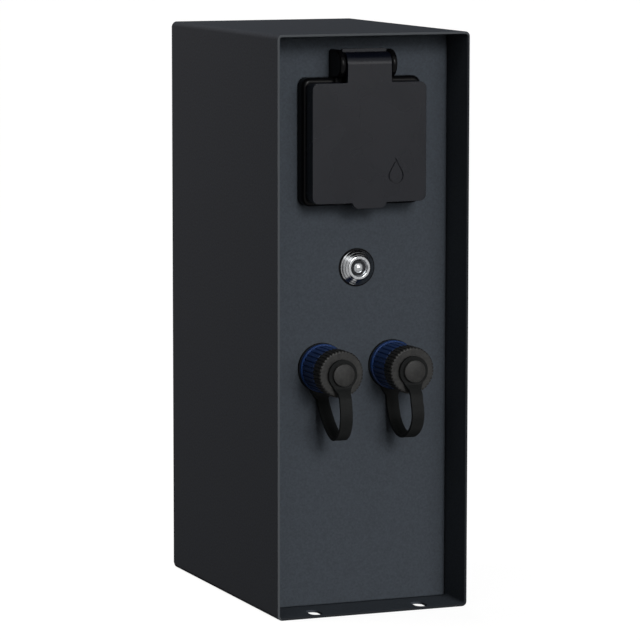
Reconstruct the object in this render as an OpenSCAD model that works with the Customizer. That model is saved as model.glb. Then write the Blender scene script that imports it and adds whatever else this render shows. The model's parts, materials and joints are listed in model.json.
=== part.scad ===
// Garden socket post: a folded sheet-steel housing with a recessed front panel that carries
// an earthed outlet under a sprung lid, a push-button switch and two capped round connectors.
// Origin at the middle of the base, +Z up, the front faces -Y, millimetres.

/* [Housing] */
// Width of the housing
housing_w = 106; // [98:1:130]
// Depth of the housing from the front rim to the rear cover
housing_d = 158; // [152:1:190]
// Height of the housing
housing_h = 300; // [292:1:380]
// Thickness of the folded sheet
sheet_t = 1.2; // [1:0.1:2]
// Outside radius of the folded edges
bend_r = 2.5; // [2.3:0.1:4]
// Depth of the front panel behind the rim
recess_d = 23.5; // [21:0.5:27]
// Depth of the folded edge round the front panel
panel_edge = 16; // [14:1:20]
// Outside radius of the panel's upright folded edges
panel_r = 3; // [2.5:0.1:5]
// Gap between the front panel and the jacket
seam_gap = 0.2; // [0.1:0.05:0.4]
// Width of the jacket's rear returns
return_w = 13; // [11:0.5:16]
// Thickness of the seal under the rear cover
rear_gasket_t = 1; // [0.5:0.1:2]
// How far the rear cover stays inside the jacket's outline
cover_inset = 0.5; // [0.2:0.1:1]
// Distance of the rear screws from the top and the bottom
rear_screw_edge = 22; // [16:1:40]

/* [Base] */
// Width of the fixing slots in the base
slot_w = 6.5; // [4:0.5:7]
// End-to-end length of the fixing slots
slot_l = 17; // [9:0.5:17.5]
// Distance between the slots from left to right
slot_pitch = 59; // [53:1:64]
// Distance of the slots from the jacket's front and rear edges
slot_edge = 11; // [10:0.5:11.5]
// Diameter of the cable opening in the base
cable_hole_d = 44; // [34:1:46]
// Diameter of the bore through the cable gland
gland_bore_d = 13.2; // [10:0.2:14]

/* [Socket outlet] */
// Distance from the top of the housing to the middle of the outlet
socket_drop = 56; // [53:1:70]
// Side of the square flange
flange_size = 66; // [64:1:70]
// Corner radius of the flange
flange_r = 4.5; // [3:0.5:9]
// Thickness of the flange
flange_t = 6.5; // [4:0.5:7]
// Thickness of the seal under the flange
socket_gasket_t = 1; // [0.6:0.1:2]
// Diameter of the plug well
well_d = 39.6; // [39:0.1:41]
// Depth of the plug well
well_depth = 17.5; // [16.5:0.5:19]
// Height of the collar round the well
collar_h = 3.5; // [3:0.5:5]
// Distance between the two plug pins
pin_pitch = 19; // [18.6:0.1:19.4]
// Distance between the flange screws
flange_screw_pitch = 46; // [44:0.5:48]

/* [Lid] */
// Width of the lid
lid_w = 63; // [59:0.5:64]
// Height of the lid without its neck
lid_h = 61.5; // [59:0.5:63]
// Depth of the lid
lid_depth = 9.7; // [9.5:0.1:12]
// Wall thickness of the lid
lid_wall = 2.2; // [1.6:0.1:2.6]
// Corner radius of the lid
lid_r = 3.5; // [3:0.5:8]
// Width of the neck between the hinge ears
neck_w = 24.4; // [22:0.2:27]
// Outside radius of the rounded hood over the hinge
hood_r = 7.7; // [7:0.1:8]
// Height of the hinge axis above the flange
hinge_rise = 6.8; // [6.6:0.1:8]
// Radius of the hinge pin
hinge_pin_r = 1.5; // [1.2:0.1:1.8]
// Thickness of each hinge ear
ear_t = 3.3; // [2.5:0.1:4.5]
// Width of the finger tab
tab_w = 18.8; // [14:0.2:24]

/* [Switch] */
// Distance from the outlet down to the switch
switch_drop = 66; // [60:1:80]
// Diameter of the switch head
head_d = 18.6; // [18:0.1:20]
// Height of the switch head above its seal
head_h = 3; // [2.5:0.1:4]
// Diameter of the threaded barrel
barrel_d = 15.8; // [15.4:0.1:16]
// Diameter of the push button
button_d = 7.5; // [7:0.1:8]
// Travel of the push button
button_travel = 2; // [1:0.1:2.4]

/* [Connectors] */
// Distance from the switch down to the connectors
connector_drop = 51.5; // [46:0.5:60]
// Distance between the two connectors
connector_pitch = 39.4; // [36:0.2:42]
// Diameter of the connector's flange
body_flange_d = 25.2; // [24.6:0.1:26]
// Diameter over the ribs of the connector's barrel
body_d = 24; // [23:0.1:24.4]
// Diameter of the threaded spigot under the cap
spigot_d = 20.4; // [19.4:0.1:20.8]
// Length of the connector in front of the panel
body_len = 25.2; // [22:0.2:27]
// Diameter over the cap's knurl
cap_d = 24.4; // [23.6:0.1:25]
// Length of the cap
cap_len = 9.5; // [9.2:0.1:10.4]
// Number of ridges round the cap
cap_ridges = 40; // [24:1:60]
// Diameter of the cap's stud head
stud_d = 11.6; // [11:0.1:13]
// Width of the strap
strap_w = 7; // [5:0.5:9]
// Thickness of the strap
strap_t = 1.5; // [1.2:0.1:1.8]

/* [Hidden] */
$fn = 48;
hull_fn = 32;
fit_gap = 0.03;
run_gap = 0.06;
slip_gap = 0.1;
free_gap = 0.3;
eps = 0.01;

// Planes and centres that several pieces share
inner_w = housing_w - 2 * sheet_t;
inner_h = housing_h - 2 * sheet_t;
inner_r = bend_r - sheet_t;
panel_end_r = sheet_t + 0.3;
front_y = -housing_d / 2;
rear_y = housing_d / 2;
panel_y = front_y + recess_d;
panel_back_y = panel_y + sheet_t;
jacket_back_y = rear_y - sheet_t - rear_gasket_t;
socket_z = housing_h - socket_drop;
switch_z = socket_z - switch_drop;
connector_z = switch_z - connector_drop;
sides = [-1, 1];

// Fixings: [shank radius, head radius, head height], and nuts: [across flats, height]
m3 = [1.5, 2.9, 1.9];
m4 = [2, 3.8, 2.6];
m3_nut = [5.5, 2.4];
m4_nut = [7, 3.2];
m6_nut = [10, 5];
stud_r = 2;
stud_len = 9;
stud_hole_gap = 0.3;
panel_stud_y = panel_y + panel_edge * 0.6;
panel_stud_z = [60, housing_h - 60];
rear_screw_x = inner_w / 2 - return_w / 2;
rear_screw_z = [rear_screw_edge, housing_h - rear_screw_edge];
slot_front_y = front_y + slot_edge;
slot_rear_y = jacket_back_y - slot_edge;

// Outlet: distances in front of the panel (negative is behind it)
flange_front = socket_gasket_t + flange_t;
collar_front = flange_front + collar_h;
well_floor = collar_front - well_depth;
insert_wall = 1.7;
insert_d = well_d + 2 * insert_wall;
collar_wall = 1.9;
collar_d = insert_d + 2 * (slip_gap + collar_wall);
sleeve_back = -sheet_t - 6;
insert_base_t = 10;
insert_back = well_floor - insert_base_t;
insert_shoulder_d = collar_d - 1;
guide_rib_w = 4.8;
guide_rib_h = 1.8;
pin_hole_d = 5.4;
contact_d = 6.6;
contact_bore_d = 4.9;
contact_seat = 2.5;
contact_block = 8;
contact_back = insert_back - contact_block - slip_gap;
clip_w = 5;
clip_t = 0.8;
clip_reach = well_d / 2 - 0.9;

// Lid and hinge: distances in front of the panel
lid_back = flange_front + free_gap;
lid_front = lid_back + lid_depth;
lid_top_z = socket_z + lid_h / 2 - 0.25;
lid_mid_z = lid_top_z - lid_h / 2;
lid_edge_r = 1.2;
hinge_f = lid_front - hood_r;
hinge_z = socket_z + flange_size / 2 + hinge_rise;
neck_t = 2.6;
lug_r = 4;
lug_w = 5;
ear_r = hood_r - 0.3;
ear_inner_x = neck_w / 2 + free_gap;
ear_skin = 1;
pin_end_x = ear_inner_x + ear_t - ear_skin - 0.1;
tab_drop = 3;
tab_t = 3.5;
seal_t = lid_front - lid_wall - collar_front - free_gap;
seal_w = 5;
spring_r = 2.6;
spring_wire_r = 0.4;
spring_turns = 7;
spring_half = neck_w / 2 - lug_w - 0.8;

// Switch: distances in front of the panel
switch_gasket_t = 0.6;
switch_gasket_d = head_d + 1.3;
head_base = switch_gasket_t;
head_front = head_base + head_h;
head_step = 0.7;
rim_d = button_d + 3.6;
barrel_back = -14;
shoulder_back = head_base - 3.2;
cavity_r = barrel_d / 2 - 1.4;
plunger_flange_r = cavity_r - 0.4;
plunger_flange_t = 1.5;
plunger_proud = 0.3;
light_ring_w = 0.65;
light_ring_t = 1.6;
switch_top = -11.5;
switch_back = -26;
terminal_len = 5;
terminal_x = 3.2;

// Connectors: distances in front of the panel
strap_ring_d = body_flange_d + 0.8;
body_base = strap_t;
body_flange_t = 2.4;
body_front = body_len;
thread_len = 7;
barrel_front = body_front - thread_len;
shank_d = 16;
shank_back = -14;
port_d = 16.4;
port_floor = 9;
carrier_d = 12.6;
carrier_back = -11;
carrier_face_t = 1.5;
contact_pin_r = 0.8;
contact_pin_circle = 3.4;
contact_pin_front = 16;
contact_pin_back = -15;
body_ribs = 28;
rib_depth = 0.5;
knurl_depth = 0.45;
cap_seal_t = 1;
cap_back = barrel_front + free_gap;
cap_front = cap_back + cap_len;
cap_floor = body_front + free_gap + cap_seal_t;
eyelet_t = strap_t + 0.2;
eyelet_back = cap_front + free_gap;
eyelet_front = eyelet_back + eyelet_t;
eyelet_d = stud_d + 4;
stud_neck_r = 3.8;
stud_head_back = eyelet_front + free_gap;
stud_head_t = 1.5;
stud_round = 0.6;
eyelet_tail = 13;

// Strap routes, chosen by hand: [distance in front of the panel, height above the connector].
// Each runs from the ring to the eyelet, and its tail bows out under the stud's head.
eyelet_mid = eyelet_back + eyelet_t / 2;
strap_start = [strap_t / 2, -(strap_ring_d / 2 - 0.7)];
strap_root = [strap_start, strap_start - [0, 0.2], strap_start - [0, 0.4]];
strap_tail = [[eyelet_mid + 4.6, -15.5], [eyelet_mid + 3.9, -12.3], [eyelet_mid + 2.1, -9.6],
    [eyelet_mid + 0.5, -7.6], [eyelet_mid, -6], [eyelet_mid, -4.6]];
left_route = concat(strap_root, [[1.05, -14.6], [2.2, -17.2], [4.4, -20.2], [7.5, -23.8], [11.6, -28],
    [17.2, -32], [23, -33.9], [28.6, -32.5], [32.6, -28.4], [34.3, -23.5], [34.4, -19]], strap_tail);
right_route = concat(strap_root, [[0.95, -14.6], [1.4, -18.2], [2.9, -23], [5.8, -28.6], [10.5, -32.6],
    [16, -34.7], [22, -34.8], [28, -32.6], [32.8, -28.8], [35.1, -24], [35, -19.3]], strap_tail);

// Inner bracket, gland and terminal rail
plate_t = 2;
plate_y = 14;
plate_back_y = plate_y + plate_t;
plate_w = 72;
plate_top_z = 118;
foot_len = 20;
foot_stud_x = 25;
foot_stud_y = plate_y - foot_len / 2;
shelf_z = 40;
shelf_w = 48;
cable_y = 42;
shelf_back_y = cable_y + 22;
shelf_flange_h = 18;
shelf_screw_x = 14;
shelf_screw_z = shelf_z + plate_t + 9;
gland_thread_d = 20;
gland_flats = 24;
gland_collar_h = 6;
gland_top_z = shelf_z + plate_t + 8;
gland_low_z = shelf_z - gland_collar_h - 10;
gland_lock_h = 5;
gland_seal_h = 5.6;
dome_h = 4;
dome_low_z = gland_low_z - gland_seal_h - 0.4 - dome_h;
dome_top_z = shelf_z - gland_collar_h - 0.6;
rail_z = 88;
rail_len = 72;
rail_t = 1;
rail_depth = 7.5;
rail_screw_x = 29;
terminal_pitch = 6.3;
terminal_t = 6.1;
terminal_out = 40;
terminal_entry = 31;
terminal_hole_r = 2.1;
wire_r = 1.5;
wire_seat = 9.2;
lead_y = plate_back_y + terminal_entry;
earth_x = -(inner_w / 2 - 11);
earth_y = 30;
earth_stud_r = 3;
lug_t = 1;
lug_barrel_y = earth_y + 9;
lug_barrel_h = 9;
socket_lead_z = plate_top_z + 60;
switch_lead_z = plate_top_z + 28;
earth_lead_z = plate_top_z + 68;
connector_lead_z = plate_top_z + 14;

black_plastic = "#26272a";
powder_coat = "#2b2e33";
rubber_black = "#1a1a1b";
connector_blue = "#1f4a9c";
zinc = "#b9bcc0";
brass = "#c9a24a";
stainless = "#d5d7da";
terminal_grey = "#9a9c9e";

// Curves and outlines
function unit(v) = v / norm(v);
function left_of(v) = [-v.y, v.x];
// The direction of the curve at point i, as long as the shorter of the two spans beside it
function tangent(p, i) =
    let (a = p[max(i - 1, 0)], b = p[min(i + 1, len(p) - 1)],
        before = i == 0 ? norm(b - p[i]) : norm(p[i] - a),
        after = i == len(p) - 1 ? before : norm(b - p[i]))
    unit(b - a) * min(before, after);
function spline_point(p, i, t) =
    (2 * t * t * t - 3 * t * t + 1) * p[i] + (t * t * t - 2 * t * t + t) * tangent(p, i)
    + (3 * t * t - 2 * t * t * t) * p[i + 1] + (t * t * t - t * t) * tangent(p, i + 1);
// A smooth curve through the points, with n steps between neighbours
function spline(p, n) = concat(
    [for (i = [0 : len(p) - 2], k = [0 : n - 1]) spline_point(p, i, k / n)],
    [p[len(p) - 1]]);
function edge_normal(p, i) = left_of(unit(p[i + 1] - p[i]));
function mitre(p, i) =
    let (last = len(p) - 2, a = edge_normal(p, max(i - 1, 0)), b = edge_normal(p, min(i, last)),
        m = unit(a + b)) m / (m * a);
// The outline of a strip of thickness t along a line of points
function strip(p, t) = concat(
    [for (i = [0 : len(p) - 1]) p[i] + mitre(p, i) * t / 2],
    [for (i = [len(p) - 1 : -1 : 0]) p[i] - mitre(p, i) * t / 2]);
// A ring of n ridges of the given depth
function ridges(r, depth, n) =
    [for (i = [0 : 4 * n - 1]) (i % 4 < 2 ? r : r - depth) * [cos(90 * i / n), sin(90 * i / n)]];
function arc(r, from, to, steps) =
    [for (i = [0 : steps]) let (a = from + (to - from) * i / steps) r * [cos(a), sin(a)]];
function helix(r, length, turns, steps) =
    [for (i = [0 : turns * steps]) let (a = 360 * i / steps)
        [length * (i / (turns * steps) - 0.5), r * cos(a), r * sin(a)]];

module rounded_rect(w, h, r) {
    square([w - 2 * r, h], center = true);
    square([w, h - 2 * r], center = true);
    for (x = sides, y = sides)
        translate([x * (w / 2 - r), y * (h / 2 - r)]) circle(r);
}

// A rectangle from y = 0 to depth whose two corners at y = 0 are rounded
module folded_outline(w, depth, r) {
    translate([-w / 2, r]) square([w, depth - r]);
    translate([-w / 2 + r, 0]) square([w - 2 * r, r + eps]);
    for (x = sides)
        translate([x * (w / 2 - r), r]) circle(r);
}

// Places children on the front panel: local Z points out of the panel
module on_panel(x, z, f = 0) {
    translate([x, panel_y - f, z]) rotate([90, 0, 0]) children();
}

// Places a side outline drawn as [distance in front of the panel, height] and gives it a width in X
module side_on(x, z, w) {
    translate([x, panel_y, z]) rotate([90, 0, -90]) linear_extrude(w, center = true) children();
}

module ring(d_out, d_in, h) {
    difference() {
        cylinder(d = d_out, h = h);
        translate([0, 0, -1]) cylinder(d = d_in, h = h + 2);
    }
}

module hex_nut(size, bore_r) {
    difference() {
        cylinder(d = size[0] / cos(30), h = size[1], $fn = 6);
        translate([0, 0, -1]) cylinder(r = bore_r, h = size[1] + 2);
    }
}

// A screw whose head sits on z = 0 and whose shank points to -z
module pan_screw(size, shank_len) {
    translate([0, 0, -shank_len]) cylinder(r = size[0], h = shank_len + eps);
    difference() {
        union() {
            cylinder(r = size[1], h = size[2] * 0.55);
            cylinder(r1 = size[1], r2 = size[1] * 0.72, h = size[2]);
        }
        for (a = [0, 90])
            rotate(a) translate([-size[1] * 0.55, -size[1] * 0.13, size[2] * 0.45])
                cube([size[1] * 1.1, size[1] * 0.26, size[2]]);
    }
}

// A round bar swept along a path
module tube(path, r, count = 8, lean = [1, 0.13, 0.07]) {
    n = len(path);
    points = [for (i = [0 : n - 1])
        let (t = unit(path[min(i + 1, n - 1)] - path[max(i - 1, 0)]),
            u = unit(cross(t, lean)), v = cross(t, u))
        for (k = [0 : count - 1])
            path[i] + r * (cos(360 * k / count) * u + sin(360 * k / count) * v)];
    walls = [for (i = [0 : n - 2], k = [0 : count - 1])
        let (a = i * count + k, b = i * count + (k + 1) % count)
        each [[b, a, a + count], [b, a + count, b + count]]];
    ends = [[for (k = [0 : count - 1]) k], [for (k = [count - 1 : -1 : 0]) (n - 1) * count + k]];
    polyhedron(points, concat(walls, ends));
}

// Housing
module base_slot(x, y) {
    for (s = sides)
        translate([x, y + s * (slot_l - slot_w) / 2, -1]) cylinder(d = slot_w, h = sheet_t + 2);
    translate([x - slot_w / 2, y - (slot_l - slot_w) / 2, -1])
        cube([slot_w, slot_l - slot_w, sheet_t + 2]);
}

module jacket_sleeve() {
    translate([0, jacket_back_y, housing_h / 2]) rotate([90, 0, 0])
        linear_extrude(jacket_back_y - front_y) difference() {
            rounded_rect(housing_w, housing_h, bend_r);
            rounded_rect(inner_w, inner_h, inner_r);
        }
}

module rear_return(side) {
    translate([side * (inner_w / 2 - return_w / 2 + sheet_t / 4), jacket_back_y - sheet_t / 2, housing_h / 2])
        cube([return_w + sheet_t / 2, sheet_t, inner_h - 2], center = true);
}

module weld_studs() {
    for (s = sides, z = panel_stud_z)
        translate([s * (inner_w / 2 + sheet_t / 2), panel_stud_y, z]) rotate([0, -s * 90, 0])
            cylinder(r = stud_r, h = stud_len);
    for (s = sides)
        translate([s * foot_stud_x, foot_stud_y, sheet_t / 2]) cylinder(r = stud_r, h = stud_len);
    translate([earth_x, earth_y, sheet_t / 2]) cylinder(r = earth_stud_r, h = stud_len + 2);
}

module housing_jacket() {
    color(powder_coat) {
        difference() {
            union() {
                jacket_sleeve();
                for (s = sides) rear_return(s);
            }
            for (s = sides) {
                base_slot(s * slot_pitch / 2, slot_front_y);
                base_slot(s * slot_pitch / 2, slot_rear_y);
                for (z = rear_screw_z)
                    translate([s * rear_screw_x, jacket_back_y + 1, z]) rotate([90, 0, 0])
                        cylinder(r = m4[0] + fit_gap, h = sheet_t + 2);
            }
            translate([0, cable_y, -1]) cylinder(d = cable_hole_d, h = sheet_t + 2);
        }
        weld_studs();
    }
}

// A tray whose upright front edges and whose top and bottom front edges are folded to two radii
module folded_tray(w, h, depth, side_r, end_r) {
    intersection() {
        translate([0, panel_y, -1]) linear_extrude(housing_h + 2) folded_outline(w, depth, side_r);
        translate([-housing_w, panel_y, housing_h / 2]) rotate([90, 0, 90])
            linear_extrude(2 * housing_w) rotate(90) mirror([0, 1]) folded_outline(h, depth, end_r);
    }
}

module front_panel() {
    pan_w = inner_w - 2 * seam_gap;
    pan_h = inner_h - 2 * seam_gap;
    color(powder_coat) difference() {
        intersection() {
            folded_tray(pan_w, pan_h, panel_edge, panel_r, panel_end_r);
            on_panel(0, housing_h / 2, -panel_edge - 1)
                linear_extrude(panel_edge + 2) rounded_rect(pan_w, pan_h, bend_r);
        }
        translate([0, sheet_t, 0])
            folded_tray(pan_w - 2 * sheet_t, pan_h - 2 * sheet_t, panel_edge, panel_r - sheet_t,
                panel_end_r - sheet_t);
        on_panel(0, socket_z, -sheet_t - 1) cylinder(d = collar_d + 1, h = sheet_t + 2);
        for (x = sides, z = sides)
            on_panel(x * flange_screw_pitch / 2, socket_z + z * flange_screw_pitch / 2, -sheet_t - 1)
                cylinder(r = m3[0] + slip_gap, h = sheet_t + 2);
        on_panel(0, switch_z, -sheet_t - 1) cylinder(d = barrel_d + 2 * slip_gap, h = sheet_t + 2);
        for (s = sides) {
            on_panel(s * connector_pitch / 2, connector_z, -sheet_t - 1)
                cylinder(d = shank_d + 2 * slip_gap, h = sheet_t + 2);
            for (z = panel_stud_z)
                translate([s * (inner_w / 2 + 1), panel_stud_y, z]) rotate([0, -s * 90, 0])
                    cylinder(r = stud_r + stud_hole_gap, h = sheet_t + 3);
        }
    }
}

module panel_nuts() {
    color(zinc) for (s = sides, z = panel_stud_z)
        translate([s * (inner_w / 2 - seam_gap - sheet_t), panel_stud_y, z]) rotate([0, -s * 90, 0])
            hex_nut(m4_nut, stud_r + fit_gap);
}

module rear_outline() {
    rounded_rect(housing_w - 2 * cover_inset, housing_h - 2 * cover_inset, bend_r);
}

module rear_screw_holes(r) {
    for (s = sides, z = rear_screw_z)
        translate([s * rear_screw_x, z - housing_h / 2]) circle(r);
}

module rear_cover() {
    color(powder_coat) translate([0, rear_y, housing_h / 2]) rotate([90, 0, 0])
        linear_extrude(sheet_t) difference() {
            rear_outline();
            rear_screw_holes(m4[0] + stud_hole_gap);
        }
}

module rear_cover_gasket() {
    color(rubber_black) translate([0, rear_y - sheet_t, housing_h / 2]) rotate([90, 0, 0])
        linear_extrude(rear_gasket_t) difference() {
            rear_outline();
            square([inner_w - 2 * return_w, inner_h - 2 * return_w], center = true);
            rear_screw_holes(m4[0] + stud_hole_gap);
        }
}

module rear_cover_screws() {
    color(zinc) for (s = sides, z = rear_screw_z)
        translate([s * rear_screw_x, rear_y, z]) rotate([-90, 0, 0]) pan_screw(m4, 10);
}

// Inner bracket, cable gland and terminals
module terminal_plate() {
    color(zinc) difference() {
        translate([0, plate_y + plate_t / 2, sheet_t]) rotate([90, 0, -90])
            linear_extrude(plate_w, center = true)
                polygon(strip([[foot_len + plate_t / 2, plate_t / 2], [0, plate_t / 2],
                    [0, plate_top_z - sheet_t]], plate_t));
        for (s = sides) {
            translate([s * foot_stud_x, foot_stud_y, 0])
                cylinder(r = stud_r + stud_hole_gap, h = sheet_t + plate_t + 1);
            translate([s * shelf_screw_x, plate_y - 1, shelf_screw_z]) rotate([-90, 0, 0])
                cylinder(r = m4[0] + slip_gap, h = plate_t + 2);
            translate([s * rail_screw_x, plate_y - 1, rail_z]) rotate([-90, 0, 0])
                cylinder(r = m4[0] + slip_gap, h = plate_t + 2);
        }
    }
}

module gland_shelf() {
    mid = shelf_z + plate_t / 2;
    color(zinc) difference() {
        rotate([90, 0, 90]) linear_extrude(shelf_w, center = true)
            polygon(strip([[plate_back_y + plate_t / 2, shelf_z + shelf_flange_h],
                [plate_back_y + plate_t / 2, mid], [shelf_back_y, mid]], plate_t));
        translate([0, cable_y, shelf_z - 1])
            cylinder(d = gland_thread_d + 2 * slip_gap, h = plate_t + 2);
        for (s = sides)
            translate([s * shelf_screw_x, plate_back_y - 1, shelf_screw_z]) rotate([-90, 0, 0])
                cylinder(r = m4[0] + slip_gap, h = plate_t + 2);
    }
}

module bracket_screws() {
    color(zinc) for (s = sides) {
        translate([s * shelf_screw_x, plate_back_y + plate_t, shelf_screw_z]) rotate([-90, 0, 0])
            pan_screw(m4, 2 * plate_t + 5);
        translate([s * rail_screw_x, plate_back_y + rail_t, rail_z]) rotate([-90, 0, 0])
            pan_screw(m4, plate_t + rail_t + 5);
    }
}

module bracket_nuts() {
    color(zinc) for (s = sides) {
        translate([s * foot_stud_x, foot_stud_y, sheet_t + plate_t]) hex_nut(m4_nut, stud_r + fit_gap);
        for (p = [[shelf_screw_x, shelf_screw_z], [rail_screw_x, rail_z]])
            translate([s * p.x, plate_y, p.y]) rotate([90, 0, 0]) hex_nut(m4_nut, m4[0] + fit_gap);
    }
}

module gland_body() {
    color(terminal_grey) translate([0, cable_y, 0]) difference() {
        union() {
            translate([0, 0, gland_low_z]) cylinder(d = gland_thread_d - 1, h = shelf_z - gland_low_z);
            translate([0, 0, shelf_z - gland_collar_h])
                cylinder(d = gland_flats / cos(30), h = gland_collar_h, $fn = 6);
            translate([0, 0, shelf_z - eps]) cylinder(d = gland_thread_d, h = gland_top_z - shelf_z);
        }
        translate([0, 0, gland_low_z - 1]) cylinder(d = gland_bore_d, h = gland_top_z - gland_low_z + 2);
    }
}

module gland_locknut() {
    color(terminal_grey) translate([0, cable_y, shelf_z + plate_t])
        hex_nut([gland_flats, gland_lock_h], gland_thread_d / 2 + fit_gap);
}

module gland_seal() {
    color(rubber_black) translate([0, cable_y, gland_low_z - gland_seal_h - 0.1])
        ring(gland_thread_d - 1.2, gland_bore_d, gland_seal_h);
}

module gland_dome_nut() {
    color(terminal_grey) translate([0, cable_y, 0]) difference() {
        union() {
            translate([0, 0, dome_low_z + dome_h])
                cylinder(d = gland_flats / cos(30), h = dome_top_z - dome_low_z - dome_h, $fn = 6);
            translate([0, 0, dome_low_z]) cylinder(d1 = gland_flats - 4, d2 = gland_flats, h = dome_h + eps);
        }
        translate([0, 0, dome_low_z + dome_h - 0.2])
            cylinder(d = gland_thread_d - 1 + 2 * slip_gap, h = dome_top_z);
        translate([0, 0, dome_low_z - 1]) cylinder(d = gland_bore_d + 0.8, h = dome_h + 2);
    }
}

module terminal_rail() {
    half = rail_t / 2;
    color(zinc) difference() {
        translate([0, plate_back_y, rail_z]) rotate([90, 0, 90]) linear_extrude(rail_len, center = true)
            polygon(strip([[rail_depth - half, -17.5], [rail_depth - half, -13], [half, -13],
                [half, 13], [rail_depth - half, 13], [rail_depth - half, 17.5]], rail_t));
        for (s = sides)
            translate([s * rail_screw_x, plate_back_y - 1, rail_z]) rotate([-90, 0, 0])
                cylinder(r = m4[0] + slip_gap, h = rail_t + 2);
    }
}

// A rail-mounted terminal: its feet hook behind the rail's lips
module rail_terminal(slot) {
    upper = [[rail_depth + 0.2, 17.8], [rail_depth - 1.3, 17.8], [rail_depth - 1.3, 15.4],
        [rail_depth - 3.1, 15.4], [rail_depth - 3.1, 20.4], [rail_depth + 2, 22.5], [26, 22.5],
        [terminal_out, 14]];
    lower = [for (i = [len(upper) - 1 : -1 : 0]) [upper[i].x, -upper[i].y]];
    translate([slot * terminal_pitch, plate_back_y, rail_z]) difference() {
        rotate([90, 0, 90]) linear_extrude(terminal_t, center = true) polygon(concat(upper, lower));
        for (s = sides) {
            translate([0, terminal_entry, s * 16]) cylinder(r = terminal_hole_r, h = 16, center = true);
            translate([0, terminal_out + 1, s * 7]) rotate([90, 0, 0])
                cylinder(r = terminal_hole_r, h = 6);
        }
    }
}

module line_terminals() {
    color(terminal_grey) for (slot = [-3, -2, -1, 3]) rail_terminal(slot);
}

module neutral_terminals() {
    color("#3566b5") for (slot = [1, 2]) rail_terminal(slot);
}

module earth_terminal() {
    color("#5f9a3a") rail_terminal(0);
}

module rail_end_stops() {
    stop_t = 5;
    color(terminal_grey) for (s = sides)
        translate([s * (3.5 * terminal_pitch + stop_t / 2), plate_back_y, rail_z])
            rotate([90, 0, 90]) linear_extrude(stop_t, center = true)
                polygon([[rail_depth + 0.2, -17.8], [rail_depth - 1.3, -17.8], [rail_depth - 1.3, -15.4],
                    [rail_depth - 3.1, -15.4], [rail_depth - 3.1, -20.4], [rail_depth + 9, -20.4],
                    [rail_depth + 9, 20.4], [rail_depth - 3.1, 20.4], [rail_depth - 3.1, 15.4],
                    [rail_depth - 1.3, 15.4], [rail_depth - 1.3, 17.8], [rail_depth + 0.2, 17.8]]);
}

module earth_lug() {
    color(zinc) difference() {
        union() {
            translate([earth_x, earth_y, sheet_t]) cylinder(r = 5.5, h = lug_t);
            translate([earth_x - 2.2, earth_y, sheet_t]) cube([4.4, lug_barrel_y - earth_y, lug_t]);
            translate([earth_x, lug_barrel_y, sheet_t]) cylinder(r = 2.6, h = lug_barrel_h);
        }
        translate([earth_x, earth_y, 0]) cylinder(r = earth_stud_r + slip_gap, h = sheet_t + lug_t + 1);
        translate([earth_x, lug_barrel_y, sheet_t + 2]) cylinder(r = wire_r + 0.2, h = lug_barrel_h);
    }
}

module earth_nut() {
    color(zinc) translate([earth_x, earth_y, sheet_t + lug_t]) hex_nut(m6_nut, earth_stud_r + fit_gap);
}

// Socket outlet
module flange_screw_places() {
    for (x = sides, z = sides)
        translate([x * flange_screw_pitch / 2, z * flange_screw_pitch / 2]) children();
}

module hinge_ear(side) {
    top = hinge_z - socket_z;
    side_on(side * (ear_inner_x + ear_t / 2), socket_z, ear_t) {
        translate([socket_gasket_t, flange_size / 2 - 3]) square([flange_t, 3 + eps]);
        translate([socket_gasket_t, flange_size / 2])
            square([hinge_f - socket_gasket_t, hinge_rise + ear_r]);
        translate([hinge_f, top]) circle(ear_r);
    }
}

module socket_frame() {
    color(black_plastic) difference() {
        union() {
            on_panel(0, socket_z, socket_gasket_t)
                linear_extrude(flange_t) rounded_rect(flange_size, flange_size, flange_r);
            on_panel(0, socket_z, sleeve_back) cylinder(d = collar_d, h = collar_front - sleeve_back);
            for (s = sides) hinge_ear(s);
        }
        on_panel(0, socket_z, sleeve_back - 1)
            cylinder(d = insert_d + 2 * slip_gap, h = collar_front - sleeve_back + 2);
        on_panel(0, socket_z, 0) flange_screw_places() {
            cylinder(r = m3[0] + slip_gap, h = flange_front + 1);
            translate([0, 0, flange_front - m3[2] - 0.2]) cylinder(r = m3[1] + 0.2, h = m3[2] + 1);
        }
        translate([0, panel_y - hinge_f, hinge_z]) rotate([0, 90, 0])
            cylinder(r = hinge_pin_r + fit_gap, h = 2 * pin_end_x + 0.2, center = true);
    }
}

module socket_gasket() {
    color(rubber_black) on_panel(0, socket_z) linear_extrude(socket_gasket_t) difference() {
        rounded_rect(flange_size, flange_size, flange_r);
        circle(d = collar_d + 0.4);
        flange_screw_places() circle(m3[0] + slip_gap);
    }
}

module socket_insert() {
    color(black_plastic) on_panel(0, socket_z) difference() {
        union() {
            difference() {
                union() {
                    translate([0, 0, insert_back]) cylinder(d = insert_d, h = collar_front - insert_back);
                    translate([0, 0, insert_back])
                        cylinder(d = insert_shoulder_d, h = sleeve_back - insert_back);
                }
                translate([0, 0, well_floor]) cylinder(d = well_d, h = well_depth + 1);
            }
            for (s = sides)
                translate([s * (well_d / 2 - guide_rib_h / 2 + 0.3), 0, (well_floor + collar_front) / 2 - 1])
                    cube([guide_rib_h + 0.6, guide_rib_w, well_depth - 2], center = true);
        }
        for (s = sides) {
            translate([s * pin_pitch / 2, 0, insert_back - 1]) {
                cylinder(d = pin_hole_d, h = insert_base_t + 2);
                cylinder(d = contact_d + 2 * slip_gap, h = insert_base_t + 1 - contact_seat);
            }
            translate([0, s * clip_reach, insert_back + insert_base_t / 2])
                cube([clip_w + 0.4, clip_t + 0.6, insert_base_t + 2], center = true);
        }
    }
}

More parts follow.
